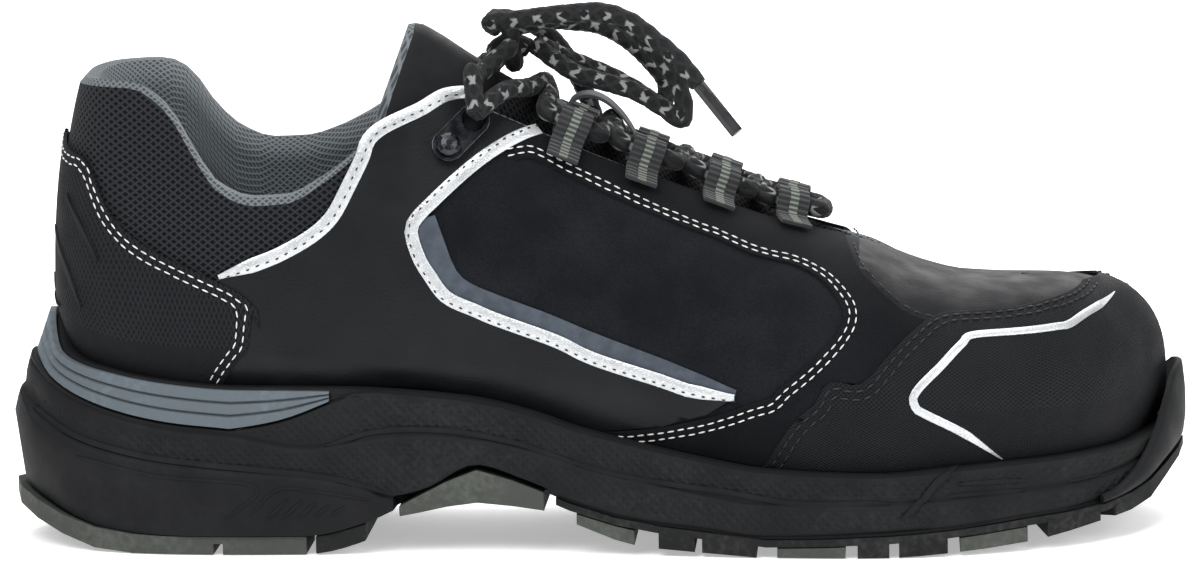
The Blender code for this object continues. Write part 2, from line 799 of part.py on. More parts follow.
# The tread
LUG_EDGE = 0.8 * MM
LUG_REACH = 23 * MM
BAR_EDGE = 30 * MM
LUG_SINK = 0.5 * MM
CRESCENT_WIDTH = 17 * MM
TOE_LUG_WIDTH = 15 * MM
CRESCENT_END = 0.184
HEEL_END = 0.262
FOREFOOT_START = 0.471
TOE_LUG_START = 0.915

# Columns: start and end shares of the tread blocks along both edges, and which rubber.
HEEL_BLOCKS = ((0.192, 0.262),)
BLACK_BLOCKS = (
    (0.556, 0.586),
    (0.592, 0.637),
    (0.720, 0.746),
    (0.754, 0.794),
    (0.870, 0.903),
)
GREY_BLOCKS = ((0.488, 0.536), (0.654, 0.710), (0.804, 0.860))
HEEL_BARS = ((0.110, 0.140), (0.160, 0.190), (0.212, 0.240))
BLACK_BARS = ((0.505, 0.535), (0.560, 0.590), (0.615, 0.645), (0.670, 0.700), (0.725, 0.755))
TOE_BARS = ((0.780, 0.808), (0.832, 0.856))


def tread_point(station, side, inside, height_of):
    x, y, _ = sole_point(station, side, inside, 0)
    return (x, y, height_of(share_of(x)))


def web_under(share):
    return tread_top(share) - TREAD_WEB


def lug(name, start, end, side, edge, reach, top_of, material):
    """A tread block between two stations and two distances from the edge."""
    places = between(start, end)
    tops = [[tread_point(s, side, step, top_of) for step in (edge, reach)] for s in places]
    bottoms = [
        [tread_point(s, side, step, tread_under) for step in (edge, reach)] for s in places
    ]
    return slab(name, tops, bottoms, material)


def bar(name, start, end, edge, top_of, material):
    """A tread block right across the middle of the sole."""
    places = between(start, end)
    tops, bottoms = [], []
    for s in places:
        tops.append([tread_point(s, side, edge, top_of) for side in (LATERAL, MEDIAL)])
        bottoms.append([tread_point(s, side, edge, tread_under) for side in (LATERAL, MEDIAL)])
    return slab(name, tops, bottoms, material)


def rim_lug(name, places, width, top_of, material):
    """A curved tread block along the edge, round the heel or the toe."""
    rings = []
    for s, side in places:
        rings.append(
            [
                tread_point(s, side, LUG_EDGE, tread_under),
                tread_point(s, side, LUG_EDGE, top_of),
                tread_point(s, side, width, top_of),
                tread_point(s, side, width, tread_under),
            ]
        )
    return loft(name, rings, material)


def tread_web(name, places, material):
    """The thin plate under the midsole that carries the blocks."""
    columns = []
    for s, side in places:
        columns.append(
            [tread_point(s, side, LUG_EDGE, web_under), tread_point(s, side, LUG_EDGE, tread_top)]
        )
    return stacked(name, columns, material)


def join_into(body, others):
    """Adds closed shapes to a body with one exact Boolean."""
    bm = bmesh.new()
    for other in others:
        bm.from_mesh(other.data)
        bpy.data.objects.remove(other, do_unlink=True)
    mesh = bpy.data.meshes.new("blocks")
    bm.to_mesh(mesh)
    bm.free()
    blocks = bpy.data.objects.new(body.name + "_blocks", mesh)
    CUTTERS.objects.link(blocks)
    blocks.hide_render = True
    blocks.display_type = "WIRE"
    union = body.modifiers.new("blocks", "BOOLEAN")
    union.operation = "UNION"
    union.solver = "EXACT"
    union.object = blocks


def sunk_top(share):
    return web_under(share) + LUG_SINK


def free_top(share):
    return web_under(share) - GAP


def make_heel_tread():
    body = tread_web("heel_outsole", round_heel(HEEL_END), "grey rubber")
    blocks = [
        rim_lug("crescent", round_heel(CRESCENT_END), CRESCENT_WIDTH, sunk_top, "grey rubber")
    ]
    for side in (LATERAL, MEDIAL):
        for start, end in HEEL_BLOCKS:
            blocks.append(
                lug("block", start, end, side, LUG_EDGE, LUG_REACH, sunk_top, "grey rubber")
            )
    for start, end in HEEL_BARS:
        blocks.append(bar("bar", start, end, BAR_EDGE, sunk_top, "grey rubber"))
    join_into(body, blocks)
    bar("heel_breast_lug", HEEL_END + 0.008, 0.312, LUG_EDGE, tread_top, "rubber")


def make_forefoot_tread():
    body = tread_web("forefoot_outsole", round_toe(FOREFOOT_START), "rubber")
    blocks = [rim_lug("toe_lug", round_toe(TOE_LUG_START), TOE_LUG_WIDTH, sunk_top, "rubber")]
    for side in (LATERAL, MEDIAL):
        for start, end in BLACK_BLOCKS:
            blocks.append(lug("block", start, end, side, LUG_EDGE, LUG_REACH, sunk_top, "rubber"))
    for start, end in BLACK_BARS + TOE_BARS:
        blocks.append(bar("bar", start, end, BAR_EDGE, sunk_top, "rubber"))
    join_into(body, blocks)
    for number, (start, end) in enumerate(GREY_BLOCKS, 1):
        for side, word in ((LATERAL, "lateral"), (MEDIAL, "medial")):
            name = f"tread_block_{word}_{number}"
            lug(name, start, end, side, LUG_EDGE, LUG_REACH, free_top, "grey rubber")


def make_arch_bridge():
    """The grey bridge under the arch, with a flange up each side of the midsole."""
    rings = []
    for station in between(ARCH_START + 0.004, ARCH_END - 0.004):
        ring = []
        for side in (LATERAL, MEDIAL):
            share = edge_share(station, side)
            top, low, inner = tread_top(share), tread_under(share), web_top(share)
            flange = max(top, inner + 0.6 * MM)
            half = [
                sole_point(station, side, 2 * LUG_EDGE, low),
                sole_point(station, side, LUG_EDGE, flange),
                sole_point(station, side, BRIDGE_DEPTH, flange),
                sole_point(station, side, BRIDGE_DEPTH, inner),
            ]
            ring += half if side == LATERAL else half[::-1]
        rings.append(ring)
    loft("arch_bridge", rings, "grey rubber")


# Columns: share of length, top of the toe bumper as a share of the ball sole height.
BUMPER = (
    (0.930, 0.560),
    (0.945, 0.680),
    (0.960, 0.860),
    (0.975, 1.180),
    (0.985, 1.550),
    (0.993, 1.860),
    (1.000, 1.930),
)
BUMPER_THICKNESS = 2.3 * MM
BUMPER_START = 0.905
bumper_top = smooth(scaled(BUMPER, BALL_SOLE), 1)


def make_toe_bumper():
    rings = []
    for s, side in round_toe(BUMPER_START):
        share = edge_share(s, side)
        low = tread_top(share) + GAP
        high = max(bumper_top(share), low + 1.0 * MM)
        middle = (low + high) / 2
        profile = (
            (0.5 * MM, low),
            (0.0, middle),
            (0.9 * MM, high),
            (BUMPER_THICKNESS, high),
            (BUMPER_THICKNESS, low),
        )
        rings.append([sole_point(s, side, step, height) for step, height in profile])
    loft("toe_bumper", rings, "rubber")


# The toe guard and heel counter, sewn over the upper
# Columns: share of the length, top edge as shares of the toe's and the ankle's height.
GUARD_TOP = (
    (0.655, 0.500),
    (0.667, 0.530),
    (0.720, 0.680),
    (0.771, 0.870),
    (0.800, 0.925),
    (0.860, 0.940),
    (1.000, 0.960),
)
COUNTER_TOP = (
    (0.000, 1.160),
    (0.060, 1.080),
    (0.095, 0.900),
    (0.142, 0.800),
    (0.192, 0.717),
    (0.215, 0.650),
)
GUARD_START = 0.655
COUNTER_END = 0.205
OVERLAY_THICKNESS = 1.0 * MM
OVERLAY_EDGE = 0.7 * MM
OVERLAY_GAP = 0.5 * MM
guard_top = smooth(scaled(GUARD_TOP, TOE_HEIGHT), 1)
counter_top = smooth(scaled(COUNTER_TOP, ANKLE_HEIGHT), 1)


def on_last(station, side, height, outset):
    """The last's surface at a height, moved out, below or above its widest line."""
    if height < widest_height(station):
        return last_at_height(station, side, height, -outset)
    return last_at_turn(station, side, turn_at_height(station, height), -outset)


def make_overlay(name, places, top_of, material):
    """A sewn layer over the upper, on the upper's own rows, from above the rim to its top edge."""
    outers, inners = [], []
    for station, side in places:
        share = edge_share(station, side)
        low = rim(share) + OVERLAY_EDGE
        high = max(top_of(share), low + OVERLAY_THICKNESS)
        rows = [min(max(point[2], low), high) for point in outer_column(station, side)]
        outset = OVERLAY_GAP + OVERLAY_THICKNESS
        outers.append([on_last(station, side, height, outset) for height in rows])
        inners.append([on_last(station, side, height, OVERLAY_GAP) for height in rows])
    slab(name, outers, inners, material)


# The tongue
tongue_crest = smooth(scaled(TONGUE, INSTEP_HEIGHT), 1)
tongue_half = smooth(scaled(TONGUE, BALL_WIDTH), 2)
tongue_thick = smooth(scaled(TONGUE, MM), 3)
TONGUE_CLEAR = WALL + 5 * GAP
TONGUE_ACROSS = 4
THROAT_CLEAR = 2.0 * MM
LEAST_OPENING = 3 * MM


def tongue_over(station, side, away):
    """Height of the tongue's outer face at a distance from the spine."""
    place = max(station, COLLAR_FRONT)
    under = last_over(place, side, away, TONGUE_CLEAR)
    crown = last_over(place, side, 0, TONGUE_CLEAR)
    opening = throat_half(place) - THROAT_CLEAR
    bulge = max(tongue_crest(place) - crown, 0.0)
    if opening > LEAST_OPENING:
        under += bulge * max(1 - (away / opening) ** 2, 0.0)
    return under + tongue_crest(station) - tongue_crest(place)


def make_tongue():
    tops, bottoms = [], []
    places = [row[0] for row in TONGUE]
    for i, station in enumerate(places):
        ahead = places[min(i + 1, len(places) - 1)]
        behind = places[max(i - 1, 0)]
        slope_x = station_x(ahead) - station_x(behind)
        slope_z = tongue_crest(ahead) - tongue_crest(behind)
        length = math.hypot(slope_x, slope_z)
        down = np.array([slope_z, 0, -slope_x]) / length * tongue_thick(station)
        top = []
        for step in range(-TONGUE_ACROSS, TONGUE_ACROSS + 1):
            side = LATERAL if step < 0 else MEDIAL
            away = tongue_half(station) * abs(step) / TONGUE_ACROSS
            y = spine_offset(station) + side * away
            top.append(np.array([station_x(station), y, tongue_over(station, side, away)]))
        tops.append([tuple(p) for p in top])
        bottoms.append([tuple(p + down) for p in top])
    slab("tongue", tops, bottoms, "tongue")


# Frames on the upper for what is sewn or riveted to it
def surface_frame(station, side, from_edge, outset):
    """A place on the last a way outside the throat's edge, with its forward, up and out ways."""
    away = throat_half(station) + from_edge
    turn = turn_at_reach(station, side, away)
    here = np.array(last_at_turn(station, side, turn))
    above = np.array(last_at_turn(station, side, min(turn + 0.02, 0.999)))
    ahead_turn = turn_at_reach(station + 0.01, side, throat_half(station + 0.01) + from_edge)
    ahead = np.array(last_at_turn(station + 0.01, side, ahead_turn))
    forward = ahead - here
    up = above - here
    out = np.cross(forward, up) * (-1 if side == MEDIAL else 1)
    forward, out = forward / np.linalg.norm(forward), out / np.linalg.norm(out)
    up = np.cross(out, forward) * (-1 if side == MEDIAL else 1)
    up /= np.linalg.norm(up)
    return here + out * outset, forward, up, out


LACE_DIAMETER = 4.8 * MM
LOOP_STATIONS = (0.479, 0.540, 0.602, 0.662)
LOOP_WIDTH = 8.4 * MM
WEBBING = 1.1 * MM

# Columns: way outside the throat's edge and height above the last of the webbing's middle, in mm.
LOOP_PATH = (
    (10.0, 2.3),
    (6.0, 2.3),
    (3.2, 2.7),
    (1.8, 4.4),
    (0.7, 6.9),
    (-2.0, 8.3),
    (-4.7, 7.1),
    (-5.5, 4.8),
    (-4.4, 2.6),
    (-2.0, 1.7),
    (0.0, 2.2),
)
LACE_FROM_EDGE = -2.0 * MM
LACE_ABOVE = 5.0 * MM


def make_webbing_loops():
    for side, word in ((LATERAL, "lateral"), (MEDIAL, "medial")):
        for number, station in enumerate(LOOP_STATIONS, 1):
            origin, forward, up, out = surface_frame(station, side, 0, 0)
            middle = [np.array([-a, b]) * MM for a, b in LOOP_PATH]
            tops, bottoms = [], []
            for i, point in enumerate(middle):
                way = middle[min(i + 1, len(middle) - 1)] - middle[max(i - 1, 0)]
                way /= np.linalg.norm(way)
                normal = np.array([-way[1], way[0]]) * WEBBING / 2
                for rows, place in ((tops, point + normal), (bottoms, point - normal)):
                    centre = origin + up * place[0] + out * place[1]
                    rows.append(
                        [tuple(centre + forward * LOOP_WIDTH / 2 * k) for k in (-1, 1)]
                    )
            slab(f"lace_loop_{word}_{number}", tops, bottoms, "webbing")


# The lace hooks
HOOK_STATION = 0.393
HOOK_FROM_EDGE = 5.2 * MM
HOOK_OUTSET = 1.9 * MM
HOOK_LENGTH = 9.5 * MM
HOOK_HALF = 4.3 * MM
HOOK_PLATE = 1.2 * MM
HOOK_HOLE = 2.75 * MM
HOOK_TURN = math.radians(38)
RIVET_RADIUS = 3.3 * MM
RIVET_HEIGHT = 1.7 * MM
HOOK_SIDES = 16


def hook_frame(side):
    origin, forward, up, out = surface_frame(HOOK_STATION, side, HOOK_FROM_EDGE, HOOK_OUTSET)
    along = up * math.cos(HOOK_TURN) + forward * math.sin(HOOK_TURN)
    across = forward * math.cos(HOOK_TURN) - up * math.sin(HOOK_TURN)
    return origin, along, across, out


def make_lace_hook(side, word):
    """A rounded plate with an eye for the lace at its upper end."""
    origin, along, across, out = hook_frame(side)
    outer, inner = [], []
    for i in range(HOOK_SIDES):
        angle = 2 * math.pi * (i + 0.5) / HOOK_SIDES
        reach = HOOK_LENGTH / 2 * (1 if math.cos(angle) > 0 else -1)
        outer.append((reach + HOOK_HALF * math.cos(angle), HOOK_HALF * math.sin(angle)))
        inner.append(
            (HOOK_LENGTH / 2 + HOOK_HOLE * math.cos(angle), HOOK_HOLE * math.sin(angle))
        )
    rings = []
    for (ax, ay), (bx, by) in zip(outer, inner):
        low = origin + along * ax + across * ay
        hole = origin + along * bx + across * by
        lift = out * HOOK_PLATE
        rings.append([tuple(low), tuple(low + lift), tuple(hole + lift), tuple(hole)])
    loft(f"lace_hook_{word}", rings, "gunmetal", ends=False)
    centre = origin - along * HOOK_LENGTH / 2 + out * (HOOK_PLATE + GAP)
    dome = []
    for share, height in ((1.0, 0.0), (0.92, 0.5), (0.62, 0.86), (0.25, 1.0)):
        ring = []
        for i in range(HOOK_SIDES // 2 + 4):
            angle = 2 * math.pi * i / (HOOK_SIDES // 2 + 4)
            round_way = along * math.cos(angle) + across * math.sin(angle)
            spot = centre + round_way * RIVET_RADIUS * share + out * RIVET_HEIGHT * height
            ring.append(tuple(spot))
        dome.append(ring)
    loft(f"hook_rivet_{word}", dome, "gunmetal")


# The keeper strap on the tongue that holds the lace
KEEPER_START = 0.470
KEEPER_END = 0.550
KEEPER_HALF = 4.2 * MM
KEEPER_RISE = 7.6 * MM
KEEPER_THICKNESS = 1.0 * MM
KEEPER_STEPS = 8


def make_lace_keeper():
    tops, bottoms = [], []
    for i in range(KEEPER_STEPS + 1):
        share = i / KEEPER_STEPS
        station = KEEPER_START + (KEEPER_END - KEEPER_START) * share
        rise = KEEPER_RISE * math.sin(math.pi * min(max((share - 0.12) / 0.74, 0), 1)) ** 0.6
        row = []
        for across in (-1, 0, 1):
            side = LATERAL if across < 0 else MEDIAL
            away = KEEPER_HALF * abs(across)
            y = spine_offset(station) + across * KEEPER_HALF
            low = tongue_over(station, side, away) + GAP + rise + 0.3 * MM
            row.append((station_x(station), y, low))
        bottoms.append(row)
        tops.append([(x, y, z + KEEPER_THICKNESS) for x, y, z in row])
    slab("lace_keeper", tops, bottoms, "leather")


# The lace: crossings, bar, knot, bow and ends
def smooth_route(points, spacing):
    """Points at even distances along a smooth curve through the route's own points."""
    points = [np.array(p, float) for p in points]
    padded = [2 * points[0] - points[1]] + points + [2 * points[-1] - points[-2]]
    fine = []
    for a, b, c, d in zip(padded, padded[1:], padded[2:], padded[3:]):
        for step in range(12):
            u = step / 12
            bend = (2 * a - 5 * b + 4 * c - d) * u * u + (3 * b - a - 3 * c + d) * u**3
            fine.append((2 * b + (c - a) * u + bend) / 2)
    fine.append(points[-1])
    runs = np.cumsum([0] + [np.linalg.norm(q - p) for p, q in zip(fine, fine[1:])])
    count = max(2, round(runs[-1] / spacing))
    places = np.linspace(0, runs[-1], count + 1)
    columns = np.array(fine).T
    return [tuple(np.interp(place, runs, column) for column in columns) for place in places]


def tube(name, points, diameter, material, collection=PARTS):
    curve = bpy.data.curves.new(name, "CURVE")
    curve.dimensions = "3D"
    curve.bevel_depth = diameter / 2
    curve.bevel_resolution = 2
    curve.use_fill_caps = True
    line = curve.splines.new("POLY")
    line.points.add(len(points) - 1)
    for spot, point in zip(line.points, points):
        spot.co = (*point, 1)
    thing = bpy.data.objects.new(name, curve)
    collection.objects.link(thing)
    curve.materials.append(FINISHES[material])
    return thing


def as_mesh(thing, material):
    """A curve object made into a mesh object with its caps welded."""
    graph = bpy.context.evaluated_depsgraph_get()
    mesh = bpy.data.meshes.new_from_object(thing.evaluated_get(graph))
    bm = bmesh.new()
    bm.from_mesh(mesh)
    bmesh.ops.remove_doubles(bm, verts=bm.verts, dist=1e-6)
    bm.to_mesh(mesh)
    bm.free()
    name, place = thing.name, thing.matrix_world.copy()
    bpy.data.objects.remove(thing, do_unlink=True)
    solid = add_object(name, mesh, material)
    solid.matrix_world = place
    return solid


HOOK_CLEAR = 2.6 * MM


def lace_spot(station, side):
    """Middle of the lace where it runs through a loop, or over the hook's eye, and its way on."""
    if station == HOOK_STATION:
        origin, along, _, out = hook_frame(side)
        lift = HOOK_PLATE + LACE_DIAMETER / 2 + HOOK_CLEAR
        return origin + along * HOOK_LENGTH / 2 + out * lift, along
    origin, forward, _, _ = surface_frame(station, side, LACE_FROM_EDGE, LACE_ABOVE)
    return origin, forward


LACE_LIFT = LACE_DIAMETER / 2 + 1.7 * MM
LOOP_CLEAR = LOOP_WIDTH / 2 + 0.9 * MM
STRAIGHT_RUN = 2.6 * MM
HOOK_LIFT = 7.0 * MM
HOOK_BOW = 6.0 * MM
TIE_BOW = 4.0 * MM
TIE_RUN = 2.5 * MM


def lace_floor(x, y):
    """Least height of the lace's middle over the tongue and the upper's edge."""
    station = share_of(x)
    side = LATERAL if y < spine_offset(station) else MEDIAL
    away = abs(y - spine_offset(station))
    height = tongue_over(station, side, min(away, tongue_half(station)))
    if away > throat_half(station) - LACE_DIAMETER:
        height = max(height, last_over(station, side, away))
    return height + LACE_LIFT


def strand(start, start_side, end, end_side):
    """Route of one strand over the tongue, from behind one loop to before the next."""
    first, way = lace_spot(start, start_side)
    last, end_way = lace_spot(end, end_side)
    inward = np.array([0, 0.2 * MM, 0])
    route = [first - way * LOOP_CLEAR]
    route.append(route[0] - way * STRAIGHT_RUN - inward * start_side)
    tail = []
    goal = last
    if end != HOOK_STATION:
        tail = [last + end_way * LOOP_CLEAR]
        goal = tail[0] + end_way * STRAIGHT_RUN - inward * end_side
    begin = route[-1].copy()
    to_hook = end == HOOK_STATION
    for share in (0.2, 0.4, 0.6, 0.8) if to_hook else (0.25, 0.5, 0.75):
        spot = begin + (goal - begin) * share
        lift = HOOK_LIFT * max(2 * share - 0.8, 0) if to_hook else 0
        if to_hook:
            spot[0] += HOOK_BOW * math.sin(math.pi * share)
        spot[2] = max(spot[2], lace_floor(spot[0], spot[1]) + lift)
        route.append(spot)
    return route + [goal] + tail


def tie_strand(side):
    """Route of a strand from a hook's eye to its side of the knot."""
    first, _ = lace_spot(HOOK_STATION, side)
    outward = np.array([0, side, 0])
    last = np.array(KNOT_PLACE) * MM + outward * (KNOT_RADII[1] * MM + GAP)
    before = last + outward * TIE_RUN
    route = [first]
    for share in (0.25, 0.5, 0.75):
        spot = first + (before - first) * share
        spot[0] -= TIE_BOW * math.sin(math.pi * share)
        spot[2] = max(spot[2], lace_floor(spot[0], spot[1]) + HOOK_LIFT * (0.8 - share))
        route.append(spot)
    return route + [before, last]


def make_crossings():
    """Crossed strands between neighbouring pairs of loops, joined where they meet."""
    rows = (HOOK_STATION,) + LOOP_STATIONS
    for number, (behind, ahead) in enumerate(zip(rows, rows[1:]), 1):
        routes = [strand(ahead, side, behind, -side) for side in (LATERAL, MEDIAL)]
        if behind == HOOK_STATION:
            routes += [tie_strand(side) for side in (LATERAL, MEDIAL)]
        pieces = []
        for route in routes:
            curve = tube("strand", route, LACE_DIAMETER, "lace")
            pieces.append(as_mesh(curve, "lace"))
        pieces[0].name = f"lace_crossing_{number}"
        for piece in pieces[1:]:
            join_into(pieces[0], [piece])
    front = LOOP_STATIONS[-1]
    first, way = lace_spot(front, LATERAL)
    last, other_way = lace_spot(front, MEDIAL)
    lead = LOOP_CLEAR + STRAIGHT_RUN
    inward = np.array([0, 0.2 * MM, 0])
    middle = (first + last) / 2 + (way + other_way) / 2 * (lead + 1.0 * MM)
    middle[2] = lace_floor(middle[0], middle[1])
    near = LOOP_WIDTH / 2 + GAP
    route = [first + way * near, first + way * lead + inward, middle]
    route += [last + other_way * lead - inward, last + other_way * near]
    tube("lace_bar", route, LACE_DIAMETER, "lace")


KNOT_PLACE = (-21.0, 0.0, 125.2)
KNOT_RADII = (6.8, 5.6, 5.6)
KNOT_LEAVE = 1.2
KNOT_GAP = 1.5


def at_knot(x, y, z):
    """Two route points, in mm, of a cord that leaves the knot in a direction."""
    way = Vector((x, y, z)).normalized()
    stretch = sum((part / radius) ** 2 for part, radius in zip(way, KNOT_RADII))
    start = Vector(KNOT_PLACE) + way * (1 / math.sqrt(stretch) + KNOT_GAP)
    return (tuple(start), tuple(start + way * KNOT_LEAVE))


NEAR_LOOP = (
    *at_knot(0.45, -0.46, 0.77),
    (-9.5, -10.0, 132.8),
    (-1.0, -12.5, 134.4),
    (7.5, -14.5, 133.6),
    (16.2, -17.0, 126.2),
    (22.0, -19.0, 117.6),
    (24.8, -20.0, 111.0),
    (22.8, -19.0, 106.8),
    (18.4, -17.0, 110.6),
    (10.2, -14.0, 115.0),
    (1.1, -12.0, 117.4),
    (-6.5, -9.6, 120.2),
    *reversed(at_knot(0.86, -0.5, 0.05)),
)
FAR_LOOP = (
    *at_knot(0.45, 0.46, 0.77),
    (-8.0, 11.5, 130.6),
    (0.2, 15.0, 129.4),
    (6.0, 17.5, 126.6),
    (12.0, 19.5, 121.6),
    (17.7, 21.0, 114.0),
    (19.5, 21.0, 109.4),
    (16.0, 19.5, 108.0),
    (9.0, 16.5, 113.0),
    (0.0, 13.5, 118.0),
    (-7.0, 10.0, 120.8),
    *reversed(at_knot(0.86, 0.5, 0.05)),
)
NEAR_END = (
    *at_knot(-0.5, -0.5, 0.7),
    (-26.8, -8.0, 132.0),
    (-18.0, -14.0, 133.2),
    (-8.0, -17.5, 134.6),
    (1.7, -20.5, 135.4),
    (7.7, -23.0, 134.8),
    (13.6, -25.0, 131.4),
    (22.2, -27.5, 124.4),
    (25.6, -28.5, 120.9),
    (28.2, -29.3, 117.3),
)
FAR_END = (
    *at_knot(-0.5, 0.5, 0.7),
    (-26.8, 8.0, 132.0),
    (-20.0, 14.5, 130.8),
    (-14.0, 19.5, 127.8),
    (-9.0, 23.5, 122.0),
    (-4.0, 28.0, 112.0),
    (-1.0, 31.0, 103.0),
)
CORD_STEP = 8 * MM
AGLET_LENGTH = 15.5 * MM
AGLET_DIAMETER = 3.6 * MM


def in_metres(points):
    return [tuple(MM * value for value in point) for point in points]


def make_bow():
    bpy.ops.mesh.primitive_uv_sphere_add(segments=12, ring_count=8, location=(0, 0, 0))
    knot = bpy.context.object
    knot.data.transform(Matrix.Diagonal((*(MM * radius for radius in KNOT_RADII), 1)))
    knot.location = Vector(KNOT_PLACE) * MM
    for owner in list(knot.users_collection):
        owner.objects.unlink(knot)
    PARTS.objects.link(knot)
    knot.name = "lace_knot"
    knot.data.materials.append(FINISHES["lace"])
    for name, route, aglet in (
        ("lace_loop_near", NEAR_LOOP, None),
        ("lace_loop_far", FAR_LOOP, None),
        ("lace_end_near", NEAR_END, "aglet_near"),
        ("lace_end_far", FAR_END, "aglet_far"),
    ):
        points = smooth_route(in_metres(route), CORD_STEP)
        tube(name, points, LACE_DIAMETER, "lace")
        if aglet:
            end = Vector(points[-1])
            way = (end - Vector(points[-2])).normalized()
            tip = [tuple(end + way * GAP), tuple(end + way * (GAP + AGLET_LENGTH))]
            tube(aglet, tip, AGLET_DIAMETER, "aglet")


def main():
    clear_scene()
    make_upper()
    make_midsole()
    make_insole()
    make_heel_band()
    make_heel_tread()
    make_forefoot_tread()
    make_arch_bridge()
    make_toe_bumper()
    make_overlay("toe_guard", round_toe(GUARD_START), guard_top, "guard")
    make_overlay("heel_counter", round_heel(COUNTER_END), counter_top, "guard")
    make_tongue()
    make_webbing_loops()
    for side, word in ((LATERAL, "lateral"), (MEDIAL, "medial")):
        make_lace_hook(side, word)
    make_lace_keeper()
    make_crossings()
    make_bow()


main()
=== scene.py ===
"""Looks of a low safety sneaker: leather and mesh upper, round lace and stepped rubber sole.

The last, sole and lace functions are those of the part itself, so every panel, seam and cord
lies on the same surfaces at a finer step.
"""

import math

import bmesh
import bpy
import numpy as np
from mathutils import Matrix, Vector
from mathutils.bvhtree import BVHTree
from mathutils.geometry import delaunay_2d_cdt


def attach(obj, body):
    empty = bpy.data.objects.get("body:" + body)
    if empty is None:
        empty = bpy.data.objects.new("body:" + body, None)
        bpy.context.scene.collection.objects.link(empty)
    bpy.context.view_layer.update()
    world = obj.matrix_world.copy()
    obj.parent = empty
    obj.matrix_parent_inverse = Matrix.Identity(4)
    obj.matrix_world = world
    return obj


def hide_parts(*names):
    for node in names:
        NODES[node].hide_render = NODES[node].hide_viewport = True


bl_info = {
    "name": "Safety sneaker looks", "version": (1, 0, 0), "blender": (4, 5, 0),
    "location": "3D View > Sidebar > Sneaker",
    "description": "Dresses a safety sneaker in leather, mesh, lace and rubber", "category": "Add Mesh"
}
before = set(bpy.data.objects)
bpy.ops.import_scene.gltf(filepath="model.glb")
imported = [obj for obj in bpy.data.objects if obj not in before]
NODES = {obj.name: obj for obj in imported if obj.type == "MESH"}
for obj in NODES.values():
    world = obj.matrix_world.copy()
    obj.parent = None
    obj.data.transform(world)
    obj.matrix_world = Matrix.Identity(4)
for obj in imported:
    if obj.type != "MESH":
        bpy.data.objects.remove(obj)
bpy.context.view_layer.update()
MM = 0.001

# Driving sizes
LENGTH = 305 * MM
BALL_WIDTH = 109 * MM
WAIST_WIDTH = 78.5 * MM
HEEL_WIDTH = 80 * MM
HEEL_SOLE = 43 * MM
BALL_SOLE = 21 * MM
INSTEP_HEIGHT = 116 * MM

# Walls, pads and clearances
WALL = 2.4 * MM
COLLAR_PAD = 7 * MM
PAD_DEPTH = 38 * MM
FEATHER_TUCK = 3.0 * MM
GAP = 0.3 * MM
BRIDGE_THICKNESS = 3.2 * MM
BRIDGE_DEPTH = 8 * MM
BAND_THICKNESS = 2.0 * MM
GROOVE = 1.2 * MM
GROOVE_HALF = 0.7 * MM
HEEL_PIVOT = 0.115
TOE_PIVOT = 0.86
VAMP_POINT = 0.748
COLLAR_FRONT = 0.38
LATERAL = -1
MEDIAL = 1

# Columns: share of length, half width on the outer side and on the inner side as shares of the
# width there, which runs from the heel's through the waist's to the ball's.
OUTLINE = (
    (0.022, 0.238, 0.238), (0.08, 0.412, 0.412), (0.18, 0.506, 0.494), (0.3, 0.524, 0.467),
    (0.42, 0.548, 0.452), (0.54, 0.541, 0.453), (0.66, 0.508, 0.466), (0.76, 0.495, 0.5),
    (0.86, 0.413, 0.477), (0.94, 0.248, 0.404), (0.985, 0.037, 0.284)
)
TOE_TIP_SHARE = 0.128

# Columns: share of length, tread underside, tread top, first crease, second crease, rim, footbed.
# Heights are shares of the heel sole height up to the arch, and of the ball sole height beyond it.
HEEL_LINES = (
    (0.0, 0.26, 0.35, 0.895, 1.1, 1.39, 0.63), (0.01, 0.215, 0.32, 0.845, 1.06, 1.3, 0.62),
    (0.03, 0.15, 0.265, 0.735, 0.97, 1.165, 0.6), (0.06, 0.068, 0.182, 0.655, 0.884, 1.11, 0.59),
    (0.1, 0.0, 0.12, 0.588, 0.805, 1.065, 0.58), (0.15, 0.0, 0.106, 0.535, 0.74, 1.014, 0.565),
    (0.2, 0.0, 0.106, 0.502, 0.705, 0.984, 0.56), (0.262, 0.0, 0.106, 0.465, 0.632, 0.977, 0.56),
    (0.31, 0.074, 0.177, 0.4, 0.681, 0.97, 0.56), (0.335, 0.209, 0.251, 0.33, 0.705, 0.96, 0.56),
    (0.36, 0.246, 0.344, 0.366, 0.712, 0.946, 0.56), (0.405, 0.3, 0.498, 0.516, 0.686, 0.911, 0.59)
)
BALL_LINES = (
    (0.445, 0.555, 0.838, 0.88, 1.29, 1.73, 1.03), (0.465, 0.51, 0.726, 0.765, 1.21, 1.64, 0.95),
    (0.482, 0.4, 0.621, 0.662, 1.13, 1.55, 0.87), (0.54, 0.114, 0.39, 0.43, 0.914, 1.33, 0.69),
    (0.6, 0.04, 0.286, 0.326, 0.738, 1.143, 0.59), (0.64, 0.0, 0.21, 0.25, 0.65, 1.045, 0.545),
    (0.74, 0.0, 0.25, 0.29, 0.638, 0.981, 0.53), (0.8, 0.04, 0.305, 0.345, 0.69, 1.038, 0.57),
    (0.86, 0.11, 0.39, 0.43, 0.738, 1.076, 0.64), (0.92, 0.257, 0.443, 0.483, 0.786, 1.095, 0.69),
    (0.96, 0.367, 0.586, 0.626, 0.881, 1.114, 0.76), (0.985, 0.69, 0.82, 0.86, 1.0, 1.17, 0.81),
    (1.0, 0.88, 0.98, 1.01, 1.08, 1.219, 0.86)
)

